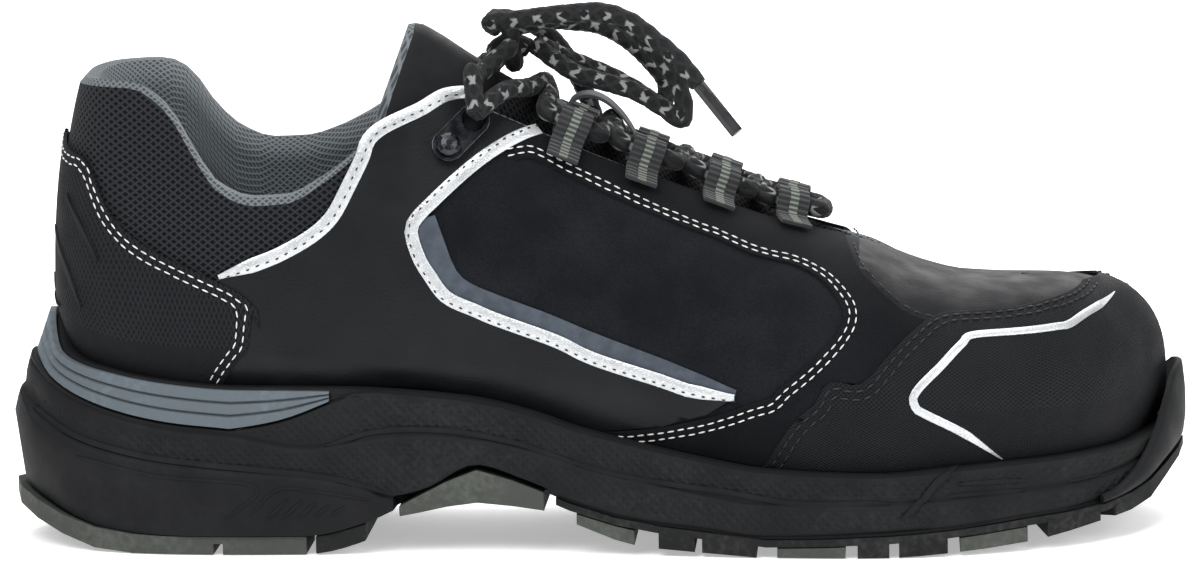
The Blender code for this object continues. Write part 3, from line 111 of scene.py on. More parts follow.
# How far each step of the sole's side, and the upper, lies inside the outline, in mm.
# Columns: share of length, block, band, wall at its foot, wall at the rim, upper.
SIDE_STEPS = (
    (0.0, 0.0, 4.0, 9.2, 13.0, 13.6), (0.03, 0.0, 3.2, 6.8, 9.4, 10.8), (0.08, 0.0, 2.2, 5.2, 7.0, 8.8),
    (0.15, 0.0, 1.8, 4.6, 6.2, 8.0), (0.285, 0.0, 1.2, 4.4, 6.0, 7.8), (0.32, 0.5, 0.9, 2.4, 3.6, 7.5),
    (0.42, 1.5, 0.0, 1.0, 3.0, 7.0), (0.54, 1.5, 0.3, 1.2, 2.8, 6.4), (0.66, 1.5, 0.5, 1.5, 2.8, 6.0),
    (0.77, 1.5, 1.2, 2.0, 3.0, 5.8), (0.79, 1.5, 0.4, 1.3, 2.6, 5.8), (0.89, 1.6, 0.8, 1.6, 2.6, 5.4),
    (0.92, 2.5, 2.5, 2.6, 3.0, 5.8), (0.96, 2.8, 2.8, 2.8, 3.4, 6.3), (1.0, 2.8, 2.8, 2.8, 3.6, 6.8)
)

# The front end of the heel band climbs from the second crease to the rim between these stations.
BAND_END_LOW = 0.2
BAND_END_HIGH = 0.307
BAND_TAIL = 0.283

# Columns: station, height of the widest line and of the ridge in mm, squareness of the section.
LAST_SECTIONS = (
    (0.0, 67.08, 136.64, 2.0), (0.03, 62.78, 141.52, 2.0), (0.06, 58.48, 150.06, 2.0),
    (0.09, 55.47, 165.92, 2.0), (0.115, 53.75, 176.9, 2.0), (0.2, 52.03, 180.56, 2.0),
    (0.26, 50.74, 174.0, 2.0), (0.31, 49.88, 153.12, 2.1), (0.345, 49.02, 138.04, 2.2),
    (0.38, 48.59, 126.44, 2.3), (0.425, 47.73, 116.58, 2.3), (0.46, 46.44, 109.62, 2.3),
    (0.5, 44.72, 102.892, 2.25), (0.55, 43.0, 95.352, 2.2), (0.6, 40.95, 88.16, 2.2),
    (0.65, 39.48, 81.432, 2.25), (0.7, 38.01, 76.56, 2.3), (0.735, 37.38, 73.544, 2.3),
    (0.76, 36.96, 69.68, 2.35), (0.785, 36.54, 66.82, 2.4), (0.81, 36.12, 65.0, 2.45),
    (0.86, 35.7, 64.22, 2.5), (1.0, 35.7, 64.48, 2.85)
)

# Columns: share of length, offset of the spine to the inner side as a share of the ball width.
SPINE = (
    (0.0, 0.0), (0.2, -0.01), (0.35, -0.024), (0.5, -0.012), (0.62, 0.012), (0.75, 0.034), (0.86, 0.037),
    (1.0, 0.037)
)

# Columns: station, height of the collar's crest on the outer side and on the inner side, in mm.
COLLAR_LINE = (
    (0.0, 122.0, 122.0), (0.118, 121.756, 124.196), (0.135, 119.316, 123.464), (0.15, 115.29, 120.536),
    (0.17, 105.156, 111.78), (0.19, 95.956, 105.8), (0.22, 92.0, 102.304), (0.25, 92.552, 102.672),
    (0.275, 96.512, 104.98), (0.3, 102.08, 108.576), (0.325, 108.46, 112.752), (0.35, 113.332, 116.0),
    (0.38, 116.348, 116.928)
)

# Columns: station, half the throat's width as a share of the ball width.
THROAT = (
    (0.38, 0.178), (0.4, 0.17), (0.43, 0.162), (0.46, 0.154), (0.5, 0.145), (0.55, 0.132), (0.6, 0.118),
    (0.65, 0.097), (0.69, 0.07), (0.72, 0.04), (0.748, 0.0)
)

# Columns: station, height of the tongue's crest as a share of the instep height, half width as a
# share of the ball width, thickness in mm.
TONGUE = (
    (0.346, 1.134, 0.112, 8.0), (0.353, 1.136, 0.124, 10.0), (0.37, 1.115, 0.126, 9.0),
    (0.39, 1.08, 0.128, 7.5), (0.412, 1.042, 0.128, 6.5), (0.44, 0.998, 0.174, 5.0),
    (0.5, 0.905, 0.188, 4.5), (0.56, 0.822, 0.19, 4.2), (0.62, 0.752, 0.184, 4.0), (0.68, 0.684, 0.16, 3.6),
    (0.725, 0.64, 0.135, 3.0)
)


def smooth(rows, column):
    """A smooth function through one column of a table that never swings past its neighbours."""
    xs = np.array([row[0] for row in rows])
    ys = np.array([row[column] for row in rows])
    step = np.diff(xs)
    rise = np.diff(ys) / step
    slope = np.zeros(len(xs))
    slope[0], slope[-1] = rise[0], rise[-1]
    for i in range(1, len(xs) - 1):
        if rise[i - 1] * rise[i] > 0:
            before = 2 * step[i] + step[i - 1]
            after = step[i] + 2 * step[i - 1]
            slope[i] = (before + after) / (before / rise[i - 1] + after / rise[i])

    def value(x):
        x = min(max(x, xs[0]), xs[-1])
        i = min(int(np.searchsorted(xs, x, side="right")) - 1, len(xs) - 2)
        u = (x - xs[i]) / step[i]
        start = (1 + 2 * u) * (1 - u) ** 2 * ys[i] + u * (1 - u) ** 2 * step[i] * slope[i]
        end = u * u * (3 - 2 * u) * ys[i + 1] + u * u * (u - 1) * step[i] * slope[i + 1]
        return float(start + end)

    return value


def scaled(rows, size):
    return tuple((row[0],) + tuple(size * value for value in row[1:]) for row in rows)


SOLE_LINES = scaled(HEEL_LINES, HEEL_SOLE) + scaled(BALL_LINES, BALL_SOLE)
tread_under, tread_top, crease_low, crease_high, rim, footbed = (
    smooth(SOLE_LINES, column) for column in range(1, 7)
)
block_step, band_step, wall_foot_step, wall_rim_step, upper_step = (
    smooth(scaled(SIDE_STEPS, MM), column) for column in range(1, 6)
)
widest_height, ridge_height = (smooth(scaled(LAST_SECTIONS, MM), column) for column in (1, 2))
squareness = smooth(LAST_SECTIONS, 3)
spine_offset = smooth(scaled(SPINE, BALL_WIDTH), 1)
collar_crest = {side: smooth(scaled(COLLAR_LINE, MM), n) for side, n in ((LATERAL, 1), (MEDIAL, 2))}
throat_half = smooth(scaled(THROAT, BALL_WIDTH), 1)
foot_width = smooth(((0.18, HEEL_WIDTH), (0.42, WAIST_WIDTH), (0.7, BALL_WIDTH)), 1)


def closed_spline(points, steps):
    """Points along a smooth closed curve through the given ones."""
    points = np.array(points)
    count = len(points)
    onward = np.roll(points, -1, axis=0) - points
    chord = np.linalg.norm(onward, axis=1)
    before = np.roll(chord, 1)
    slope = onward / chord[:, None]
    matrix = np.diag(2 * (before + chord))
    for i in range(count):
        matrix[i, i - 1] += before[i]
        matrix[i, (i + 1) % count] += chord[i]
    bend = np.linalg.solve(matrix, 6 * (slope - np.roll(slope, 1, axis=0)))
    b = np.arange(steps)[:, None] / steps
    a = 1 - b
    curve = []
    for i in range(count):
        j = (i + 1) % count
        curved = ((a**3 - a) * bend[i] + (b**3 - b) * bend[j]) * chord[i] ** 2 / 6
        curve.append(a * points[i] + b * points[j] + curved)
    return np.vstack(curve)


def sole_outline():
    """The sole's plan outline, from the heel's back along the outer side, the toe and back."""
    outer = [((s - 0.5) * LENGTH, -share * foot_width(s)) for s, share, _ in OUTLINE]
    inner = [((s - 0.5) * LENGTH, share * foot_width(s)) for s, _, share in OUTLINE]
    toe = (LENGTH / 2, TOE_TIP_SHARE * BALL_WIDTH)
    heel = (-LENGTH / 2, 0.0)
    curve = closed_spline([heel] + outer + [toe] + inner[::-1], 24)
    centre = (curve.min(axis=0) + curve.max(axis=0)) / 2
    reach = (curve.max(axis=0) - curve.min(axis=0)) / 2
    return (curve - centre) * np.array([LENGTH / 2 / reach[0], 1.0])


OUTLINE_CURVE = sole_outline()


def station_x(s):
    return (s - 0.5) * LENGTH


def share_of(x):
    return x / LENGTH + 0.5


def run_to_outline(start, heading):
    """Distance from a point inside the outline to the outline along a heading."""
    away = OUTLINE_CURVE - start
    along = away @ heading
    across = away @ np.array([-heading[1], heading[0]])
    next_along, next_across = np.roll(along, -1), np.roll(across, -1)
    crossing = (across <= 0) != (next_across <= 0)
    share = across[crossing] / (across[crossing] - next_across[crossing])
    runs = along[crossing] + share * (next_along[crossing] - along[crossing])
    return float(runs.max())


RAYS = {}


def ray(station, side):
    """Start on the spine, heading, run to the outline and the station's edge share."""
    key = (round(station, 6), side)
    if key not in RAYS:
        s = min(max(station, HEEL_PIVOT), TOE_PIVOT)
        start = np.array([station_x(s), spine_offset(s)])
        turn = math.pi / 2
        ahead = 0
        if station < HEEL_PIVOT:
            turn = math.pi / 2 * station / HEEL_PIVOT
            ahead = -1
        if station > TOE_PIVOT:
            turn = math.pi / 2 * (1 - station) / (1 - TOE_PIVOT)
            ahead = 1
        heading = np.array([ahead * math.cos(turn), side * math.sin(turn)])
        run = run_to_outline(start, heading)
        RAYS[key] = (start, heading, run, share_of(start[0] + heading[0] * run))
    return RAYS[key]


def sole_point(station, side, inside, height):
    """A point a given way inside the outline, at a height."""
    start, heading, run, _ = ray(station, side)
    x, y = start + heading * (run - inside)
    return (x, y, height)


def edge_share(station, side):
    return ray(station, side)[3]


def tuck_at(share, height, widest):
    """How far the upper draws in below its widest line, down to the feather line at the rim."""
    if height >= widest:
        return 0.0
    drop = min(1.0, (widest - height) / (widest - rim(share)))
    return FEATHER_TUCK * drop**2


def last_at_height(station, side, height, inside=0.0):
    """The last's surface below its widest line."""
    _, _, _, share = ray(station, side)
    widest = widest_height(station)
    step = upper_step(share) + inside + tuck_at(share, height, widest)
    return sole_point(station, side, step, height)


def last_at_turn(station, side, turn, inside=0.0):
    """The last's surface above its widest line; turn runs from 0 there to 1 at the ridge."""
    start, heading, run, share = ray(station, side)
    power = 2 / squareness(station)
    angle = turn * math.pi / 2
    base = run - upper_step(share) - inside
    reach = max(math.cos(angle), 0.0) ** power if turn < 1 else 0.0
    x, y = start + heading * base * reach
    widest = widest_height(station)
    height = widest + (ridge_height(station) - inside - widest) * math.sin(angle) ** power
    return (x, y, height)


def last_over(station, side, away, inside=0.0):
    """The last's height at a distance from the spine."""
    _, _, run, share = ray(station, side)
    power = squareness(station)
    base = run - upper_step(share) - inside
    reach = min(away / base, 1.0)
    widest = widest_height(station)
    return widest + (ridge_height(station) - inside - widest) * (1 - reach**power) ** (1 / power)


def turn_at_height(station, height):
    widest = widest_height(station)
    rise = min(max((height - widest) / (ridge_height(station) - widest), 0.0), 1.0)
    return math.asin(rise ** (squareness(station) / 2)) * 2 / math.pi


def turn_at_reach(station, side, away):
    _, _, run, share = ray(station, side)
    reach = away / (run - upper_step(share))
    return math.acos(min(reach, 1.0) ** (squareness(station) / 2)) * 2 / math.pi


def pad_at(station):
    """Extra thickness of the collar's padding, which fades out towards the eyelets."""
    fade = min(max((station - 0.3) / (COLLAR_FRONT - 0.3), 0.0), 1.0)
    return COLLAR_PAD * (1 - fade)


ROLL_RISE = 0.42


def top_turn(station, side):
    """Where the outer surface ends below the rolled edge of the collar or throat."""
    if station >= VAMP_POINT:
        return 1.0
    if station <= COLLAR_FRONT:
        lip = ROLL_RISE * (WALL + pad_at(station))
        return turn_at_height(station, collar_crest[side](station) - lip)
    return turn_at_reach(station, side, throat_half(station))


def outer_column(station, side):
    """Points up the last from the footbed to the top edge."""
    share = edge_share(station, side)
    low = rim(share)
    rise = widest_height(station) - low
    heights = [footbed(share) + GAP, low] + [low + rise * i / LOW_ROWS for i in range(1, LOW_ROWS)]
    top = top_turn(station, side)
    points = [last_at_height(station, side, height) for height in heights]
    return points + [last_at_turn(station, side, top * i / UPPER_ROWS) for i in range(UPPER_ROWS + 1)]


def inner_column(station, side):
    """The upper's inner face, thicker where the collar is padded."""
    crest = collar_crest[side](min(station, COLLAR_FRONT))
    top = top_turn(station, side)
    points = []
    for i, (_, _, height) in enumerate(outer_column(station, side)):
        rise = min(max((height - crest + PAD_DEPTH) / (0.6 * PAD_DEPTH), 0.0), 1.0)
        inside = WALL + pad_at(station) * rise * rise * (3 - 2 * rise)
        if i > LOW_ROWS:
            turn = top * (i - LOW_ROWS - 1) / UPPER_ROWS
            points.append(last_at_turn(station, side, turn, inside))
        else:
            points.append(last_at_height(station, side, height, inside))
    return points


def rolled_edge(outer, inner):
    """Points over the top edge, from the outer face to the inner."""
    high, below, other = (np.array(p) for p in (outer[-1], outer[-2], inner[-1]))
    across = other - high
    rise = unit(high - below) * np.linalg.norm(across) * ROLL_RISE
    return [tuple(high + across * a + rise * h) for a, h in ((0.12, 0.62), (0.5, 1.0), (0.88, 0.62))]


def strip(bm, first, second, closed=False):
    """Faces between two rows of vertices."""
    count = len(first)
    made = []
    for i in range(count if closed else count - 1):
        j = (i + 1) % count
        corners = list(dict.fromkeys((first[i], first[j], second[j], second[i])))
        if len(corners) > 2:
            made.append(bm.faces.new(corners))
    return made


def sweep(bm, rings):
    """Rings of vertices joined one to the next, with both ends closed."""
    for first, second in zip(rings, rings[1:]):
        strip(bm, first, second, closed=True)
    bm.faces.new(rings[0])
    bm.faces.new(rings[-1])


def new_body():
    bm = bmesh.new()
    return bm, bm.loops.layers.uv.new("UVMap")


def lay_uv(faces, layer, uv, turn=0.0):
    """Each face takes its vertices' UV; one that lies over the seam is carried on past a turn."""
    for face in faces:
        across = [uv[vertex][0] for vertex in face.verts]
        split = turn and max(across) - min(across) > turn / 2
        for loop in face.loops:
            u, v = uv[loop.vert]
            loop[layer].uv = (u + turn if split and u < max(across) - turn / 2 else u, v)


def unit(way):
    return way / np.linalg.norm(way)


def run_along(points):
    """Distance travelled at each point of a route."""
    steps = np.diff(np.asarray(points, float), axis=0)
    return np.append(0, np.cumsum(np.linalg.norm(steps, axis=1)))


def ways_along(points):
    """Heading of a route at each of its points."""
    way = np.gradient(np.asarray(points, float), axis=0)
    return way / (np.linalg.norm(way, axis=1, keepdims=True) + 1e-12)


ARCH_START = 0.336
ARCH_END = 0.465


def in_arch(station):
    return ARCH_START <= station <= ARCH_END


def web_top(share):
    """Underside of the midsole: the tread's top line, but lower across the arch."""
    if not in_arch(share):
        return tread_top(share)
    return min(tread_top(share), tread_under(share) + BRIDGE_THICKNESS + 1.0 * MM)


def band_foot(share):
    """Lower edge of the recess for the grey heel band."""
    low = crease_high(share) + 2 * GROOVE_HALF
    high = rim(share) - 0.6 * MM
    climb = (share - BAND_END_LOW) / (BAND_END_HIGH - BAND_END_LOW)
    return low + (high - low) * min(max(climb, 0.0), 1.0)


def midsole_column(station, side):
    """Up the side wall, over the rim and down inside the cup to the footbed."""
    share = edge_share(station, side)
    low = BRIDGE_DEPTH + GAP if in_arch(station) else block_step(share)
    first, second = crease_low(share), crease_high(share)
    band = band_step(share)
    foot = band_foot(share)
    wall = wall_foot_step(share)
    top = wall_rim_step(share)
    plain_wall = band + 0.8 * MM
    wing = plain_wall if share < BAND_END_HIGH else wall
    cup = upper_step(share) + FEATHER_TUCK - GAP
    profile = (
        (low, web_top(share) + GAP), (low, first - GROOVE_HALF),
        (min(low, band) + GROOVE if not in_arch(station) else low, first), (band, first + GROOVE_HALF),
        (band, second - GROOVE_HALF), (band + GROOVE, second), (wing, second + GROOVE_HALF),
        (wing, foot - GROOVE_HALF / 2), (wall, foot), (top, rim(share) - GROOVE_HALF / 2),
        (top + GROOVE / 2, rim(share)), (cup, rim(share)), (cup, footbed(share))
    )
    return [sole_point(station, side, inside, height) for inside, height in profile]


# The grey ribbed band round the heel
BAND_RIBS = 3
RIB_GROOVE = 1.0 * MM
RIB_GROOVE_HALF = 0.45 * MM
BAND_LEAST = 0.3 * MM


def band_section(station, side):
    """Ribs from the band's lower edge to its top, then down its back."""
    share = edge_share(station, side)
    recess, edge = band_foot(share), rim(share) - GROOVE_HALF / 2
    low = recess + GAP
    high = max(edge - GAP, low + BAND_LEAST)
    foot, top = wall_foot_step(share), wall_rim_step(share)
    groove = min(RIB_GROOVE_HALF, (high - low) / 12)

    def inside(height):
        climb = (height - recess) / (edge - recess)
        return foot + (top - foot) * climb - BAND_THICKNESS - GAP

    points = []
    for rib in range(BAND_RIBS):
        bottom, above = (low + (high - low) * n / BAND_RIBS for n in (rib, rib + 1))
        if rib:
            bottom += groove
        if rib < BAND_RIBS - 1:
            above -= groove
        points += [(inside(bottom), bottom), (inside(above), above)]
        if rib < BAND_RIBS - 1:
            middle = above + groove
            points.append((inside(middle) + RIB_GROOVE, middle))
    back = BAND_THICKNESS - GAP
    points += [(inside(high) + back, high), (inside(low) + back, low)]
    return [sole_point(station, side, step, height) for step, height in points]


# Columns: share of length, top of the toe bumper as a share of the ball sole height.
BUMPER = (
    (0.93, 0.56), (0.945, 0.68), (0.96, 0.86), (0.975, 1.18), (0.985, 1.55), (0.993, 1.86), (1.0, 1.93)
)
BUMPER_THICKNESS = 2.3 * MM
BUMPER_START = 0.905
bumper_top = smooth(scaled(BUMPER, BALL_SOLE), 1)

# The tongue
tongue_crest = smooth(scaled(TONGUE, INSTEP_HEIGHT), 1)
tongue_half = smooth(scaled(TONGUE, BALL_WIDTH), 2)
tongue_thick = smooth(scaled(TONGUE, MM), 3)
TONGUE_CLEAR = WALL + 5 * GAP
THROAT_CLEAR = 2.0 * MM
LEAST_OPENING = 3 * MM


def tongue_over(station, side, away):
    """Height of the tongue's outer face at a distance from the spine."""
    place = max(station, COLLAR_FRONT)
    under = last_over(place, side, away, TONGUE_CLEAR)
    crown = last_over(place, side, 0, TONGUE_CLEAR)
    opening = throat_half(place) - THROAT_CLEAR
    bulge = max(tongue_crest(place) - crown, 0.0)
    if opening > LEAST_OPENING:
        under += bulge * max(1 - (away / opening) ** 2, 0.0)
    return under + tongue_crest(station) - tongue_crest(place)


# Frames on the upper for what is sewn or riveted to it
def surface_frame(station, side, from_edge, outset):
    """A place on the last a way outside the throat's edge, with its forward, up and out ways."""
    turns = [turn_at_reach(s, side, throat_half(s) + from_edge) for s in (station, station + 0.01)]
    here = np.array(last_at_turn(station, side, turns[0]))
    above = np.array(last_at_turn(station, side, min(turns[0] + 0.02, 0.999)))
    ahead = np.array(last_at_turn(station + 0.01, side, turns[1]))
    forward = unit(ahead - here)
    out = -side * unit(np.cross(forward, above - here))
    up = -side * unit(np.cross(out, forward))
    return here + out * outset, forward, up, out


LACE_DIAMETER = 4.8 * MM
LOOP_STATIONS = (0.479, 0.54, 0.602, 0.662)
LOOP_WIDTH = 8.4 * MM
WEBBING = 1.1 * MM

# Columns: way outside the throat's edge and height above the last of the webbing's middle, in mm.
LOOP_PATH = (
    (10.0, 2.3), (6.0, 2.3), (3.2, 2.7), (1.8, 4.4), (0.7, 6.9), (-2.0, 8.3), (-4.7, 7.1), (-5.5, 4.8),
    (-4.4, 2.6), (-2.0, 1.7), (0.0, 2.2)
)
LACE_FROM_EDGE = -2.0 * MM
LACE_ABOVE = 5.0 * MM

# The lace hooks
HOOK_STATION = 0.393
HOOK_FROM_EDGE = 5.2 * MM
HOOK_OUTSET = 1.9 * MM
HOOK_LENGTH = 9.5 * MM
HOOK_PLATE = 1.2 * MM
HOOK_TURN = math.radians(38)


def hook_frame(side):
    """The hook's origin, the way along it and the way out from the upper."""
    origin, forward, up, out = surface_frame(HOOK_STATION, side, HOOK_FROM_EDGE, HOOK_OUTSET)
    return origin, up * math.cos(HOOK_TURN) + forward * math.sin(HOOK_TURN), out


# The keeper strap on the tongue that holds the lace
KEEPER_START = 0.47
KEEPER_END = 0.55
KEEPER_HALF = 4.2 * MM
KEEPER_RISE = 7.6 * MM
KEEPER_THICKNESS = 1.0 * MM


# The lace: crossings, bar, knot, bow and ends
def smooth_route(points, spacing):
    """Points at even distances along a smooth curve through the route's own points."""
    points = [np.array(p, float) for p in points]
    padded = [2 * points[0] - points[1]] + points + [2 * points[-1] - points[-2]]
    fine = []
    for a, b, c, d in zip(padded, padded[1:], padded[2:], padded[3:]):
        for step in range(12):
            u = step / 12
            bend = (2 * a - 5 * b + 4 * c - d) * u * u + (3 * b - a - 3 * c + d) * u**3
            fine.append((2 * b + (c - a) * u + bend) / 2)
    fine.append(points[-1])
    runs = run_along(fine)
    count = max(2, round(runs[-1] / spacing))
    places = np.linspace(0, runs[-1], count + 1)
    columns = np.array(fine).T
    return [tuple(np.interp(place, runs, column) for column in columns) for place in places]


HOOK_CLEAR = 2.6 * MM


def lace_spot(station, side):
    """Middle of the lace where it runs through a loop, or over the hook's eye, and its way on."""
    if station == HOOK_STATION:
        origin, along, out = hook_frame(side)
        lift = HOOK_PLATE + LACE_DIAMETER / 2 + HOOK_CLEAR
        return origin + along * HOOK_LENGTH / 2 + out * lift, along
    origin, forward, _, _ = surface_frame(station, side, LACE_FROM_EDGE, LACE_ABOVE)
    return origin, forward


LACE_LIFT = LACE_DIAMETER / 2 + 1.7 * MM
LOOP_CLEAR = LOOP_WIDTH / 2 + 0.9 * MM
STRAIGHT_RUN = 2.6 * MM
HOOK_LIFT = 7.0 * MM
HOOK_BOW = 6.0 * MM
TIE_BOW = 4.0 * MM
TIE_RUN = 2.5 * MM


def lace_floor(x, y):
    """Least height of the lace's middle over the tongue and the upper's edge."""
    station = share_of(x)
    side = LATERAL if y < spine_offset(station) else MEDIAL
    away = abs(y - spine_offset(station))
    height = tongue_over(station, side, min(away, tongue_half(station)))
    if away > throat_half(station) - LACE_DIAMETER:
        height = max(height, last_over(station, side, away))
    return height + LACE_LIFT


def strand(start, start_side, end, end_side):
    """Route of one strand over the tongue, from behind one loop to before the next."""
    first, way = lace_spot(start, start_side)
    goal, end_way = lace_spot(end, end_side)
    inward = np.array([0, 0.2 * MM, 0])
    route, tail = [first - way * LOOP_CLEAR], []
    begin = route[0] - way * STRAIGHT_RUN - inward * start_side
    route.append(begin)
    to_hook = end == HOOK_STATION
    if not to_hook:
        tail = [goal + end_way * LOOP_CLEAR]
        goal = tail[0] + end_way * STRAIGHT_RUN - inward * end_side
    for share in (0.2, 0.4, 0.6, 0.8) if to_hook else (0.25, 0.5, 0.75):
        spot = begin + (goal - begin) * share
        lift = HOOK_LIFT * max(2 * share - 0.8, 0) if to_hook else 0
        if to_hook:
            spot[0] += HOOK_BOW * math.sin(math.pi * share)
        spot[2] = max(spot[2], lace_floor(spot[0], spot[1]) + lift)
        route.append(spot)
    return route + [goal] + tail


def tie_strand(side):
    """Route of a strand from a hook's eye to its side of the knot."""
    first, _ = lace_spot(HOOK_STATION, side)
    outward = np.array([0, side, 0])
    last = np.array(KNOT_PLACE) * MM + outward * (KNOT_RADII[1] * MM + GAP)
    before = last + outward * TIE_RUN
    route = [first]
    for share in (0.25, 0.5, 0.75):
        spot = first + (before - first) * share
        spot[0] -= TIE_BOW * math.sin(math.pi * share)
        spot[2] = max(spot[2], lace_floor(spot[0], spot[1]) + HOOK_LIFT * (0.8 - share))
        route.append(spot)
    return route + [before, last]


KNOT_PLACE = (-21.0, 0.0, 125.2)
KNOT_RADII = (6.8, 5.6, 5.6)
KNOT_LEAVE = 1.2
KNOT_GAP = 1.5


def at_knot(x, y, z):
    """Two route points, in mm, of a cord that leaves the knot in a direction."""
    way = Vector((x, y, z)).normalized()
    stretch = sum((part / radius) ** 2 for part, radius in zip(way, KNOT_RADII))
    start = Vector(KNOT_PLACE) + way * (1 / math.sqrt(stretch) + KNOT_GAP)
    return (tuple(start), tuple(start + way * KNOT_LEAVE))


NEAR_LOOP = (
    *at_knot(0.45, -0.46, 0.77), (-9.5, -10.0, 132.8), (-1.0, -12.5, 134.4), (7.5, -14.5, 133.6),
    (16.2, -17.0, 126.2), (22.0, -19.0, 117.6), (24.8, -20.0, 111.0), (22.8, -19.0, 106.8),
    (18.4, -17.0, 110.6), (10.2, -14.0, 115.0), (1.1, -12.0, 117.4), (-6.5, -9.6, 120.2),
    *reversed(at_knot(0.86, -0.5, 0.05))
)
FAR_LOOP = (
    *at_knot(0.45, 0.46, 0.77), (-8.0, 11.5, 130.6), (0.2, 15.0, 129.4), (6.0, 17.5, 126.6),
    (12.0, 19.5, 121.6), (17.7, 21.0, 114.0), (19.5, 21.0, 109.4), (16.0, 19.5, 108.0), (9.0, 16.5, 113.0),
    (0.0, 13.5, 118.0), (-7.0, 10.0, 120.8), *reversed(at_knot(0.86, 0.5, 0.05))
)
NEAR_END = (
    *at_knot(-0.5, -0.5, 0.7), (-26.8, -8.0, 132.0), (-18.0, -14.0, 133.2), (-8.0, -17.5, 134.6),
    (1.7, -20.5, 135.4), (7.7, -23.0, 134.8), (13.6, -25.0, 131.4), (22.2, -27.5, 124.4),
    (25.6, -28.5, 120.9), (28.2, -29.3, 117.3)
)
FAR_END = (
    *at_knot(-0.5, 0.5, 0.7), (-26.8, 8.0, 132.0), (-20.0, 14.5, 130.8), (-14.0, 19.5, 127.8),
    (-9.0, 23.5, 122.0), (-4.0, 28.0, 112.0), (-1.0, 31.0, 103.0)
)

# Steps of the fine surfaces
HEEL_FAN_STEPS = 14
TOE_FAN_STEPS = 18
MIDDLE_STEP = 0.0105
UPPER_ROWS = 30
LOW_ROWS = 6
NOTCHES = (ARCH_START - 0.001, ARCH_START + 0.001, ARCH_END - 0.001, ARCH_END + 0.001)


def fine_stations():
    """Close stations from heel to toe, with pairs at the ends of the arch."""
    heel = [HEEL_PIVOT * i / HEEL_FAN_STEPS for i in range(HEEL_FAN_STEPS + 1)]
    count = round((TOE_PIVOT - HEEL_PIVOT) / MIDDLE_STEP)
    middle = [HEEL_PIVOT + (TOE_PIVOT - HEEL_PIVOT) * i / count for i in range(1, count)]
    middle = [s for s in middle if min(abs(s - notch) for notch in NOTCHES) > 0.003]
    toe = [TOE_PIVOT + (1 - TOE_PIVOT) * i / TOE_FAN_STEPS for i in range(TOE_FAN_STEPS + 1)]
    return heel + sorted(middle + list(NOTCHES)) + toe


STATIONS = fine_stations()

# The camera that took the photograph, found from the sole, collar and toe
CAMERA_AIM = Vector((0, 0, 0.065))
CAMERA_DISTANCE = 1.5
CAMERA_AZIMUTH = math.radians(-3)
CAMERA_RISE = math.radians(7)
CAMERA_ROLL = math.radians(1)
PHOTO_WIDTH = 1200
PHOTO_HEIGHT = 565
METRES_PER_PIXEL = 0.0002585
PHOTO_SHIFT = (-4.0, -5.2)
FOCAL_PIXELS = CAMERA_DISTANCE / METRES_PER_PIXEL
SENSOR_WIDTH = 36
VIEW_WAY = Vector(
    (
        math.sin(CAMERA_AZIMUTH) * math.cos(CAMERA_RISE), math.cos(CAMERA_AZIMUTH) * math.cos(CAMERA_RISE),
        -math.sin(CAMERA_RISE)
    )
)
LEVEL_RIGHT = Vector((math.cos(CAMERA_AZIMUTH), -math.sin(CAMERA_AZIMUTH), 0))
LEVEL_UP = LEVEL_RIGHT.cross(VIEW_WAY)
CAMERA_RIGHT = LEVEL_RIGHT * math.cos(CAMERA_ROLL) - LEVEL_UP * math.sin(CAMERA_ROLL)
CAMERA_UP = LEVEL_RIGHT * math.sin(CAMERA_ROLL) + LEVEL_UP * math.cos(CAMERA_ROLL)
CAMERA_PLACE = CAMERA_AIM - VIEW_WAY * CAMERA_DISTANCE


def pixel_way(px, py):
    """The camera's line of sight through a pixel of the photograph."""
    across = (px - PHOTO_WIDTH / 2 - PHOTO_SHIFT[0]) / FOCAL_PIXELS
    up = (PHOTO_HEIGHT / 2 - py + PHOTO_SHIFT[1]) / FOCAL_PIXELS
    return (VIEW_WAY + CAMERA_RIGHT * across + CAMERA_UP * up).normalized()


# The last's surface by two coordinates: round runs from -1 at the heel's back along the outer
# side to 0 at the toe's tip and on to 1, and level from 0 at the sole's rim through 1 at the
# widest line to 2 at the ridge.
ROUND_CELLS = 480
LEVEL_CELLS = 96
LEVEL_LOW = -0.3
LEVEL_HIGH = 2.0


def last_place(around, level):
    around = (around + 1) % 2 - 1
    side = LATERAL if around < 0 else MEDIAL
    station = 1 - abs(around)
    if level >= 1:
        return last_at_turn(station, side, min(level - 1, 1))
    low = rim(edge_share(station, side))
    return last_at_height(station, side, low + (widest_height(station) - low) * level)


def last_grid():
    rounds = np.linspace(-1, 1, ROUND_CELLS + 1)
    levels = np.linspace(LEVEL_LOW, LEVEL_HIGH, LEVEL_CELLS + 1)
    places = np.array([[last_place(c, v) for v in levels] for c in rounds])
    along = np.gradient(places, axis=0)
    along[0] = along[-1] = (places[1] - places[-2]) / 2
    outward = np.cross(along, np.gradient(places, axis=1))
    outward[:, -1] = outward[:, -2]
    outward /= np.linalg.norm(outward, axis=2, keepdims=True) + 1e-12
    return places, outward


LAST_PLACES, LAST_OUTWARD = last_grid()
ROUND_STEP = 2 / ROUND_CELLS
LEVEL_STEP = (LEVEL_HIGH - LEVEL_LOW) / LEVEL_CELLS


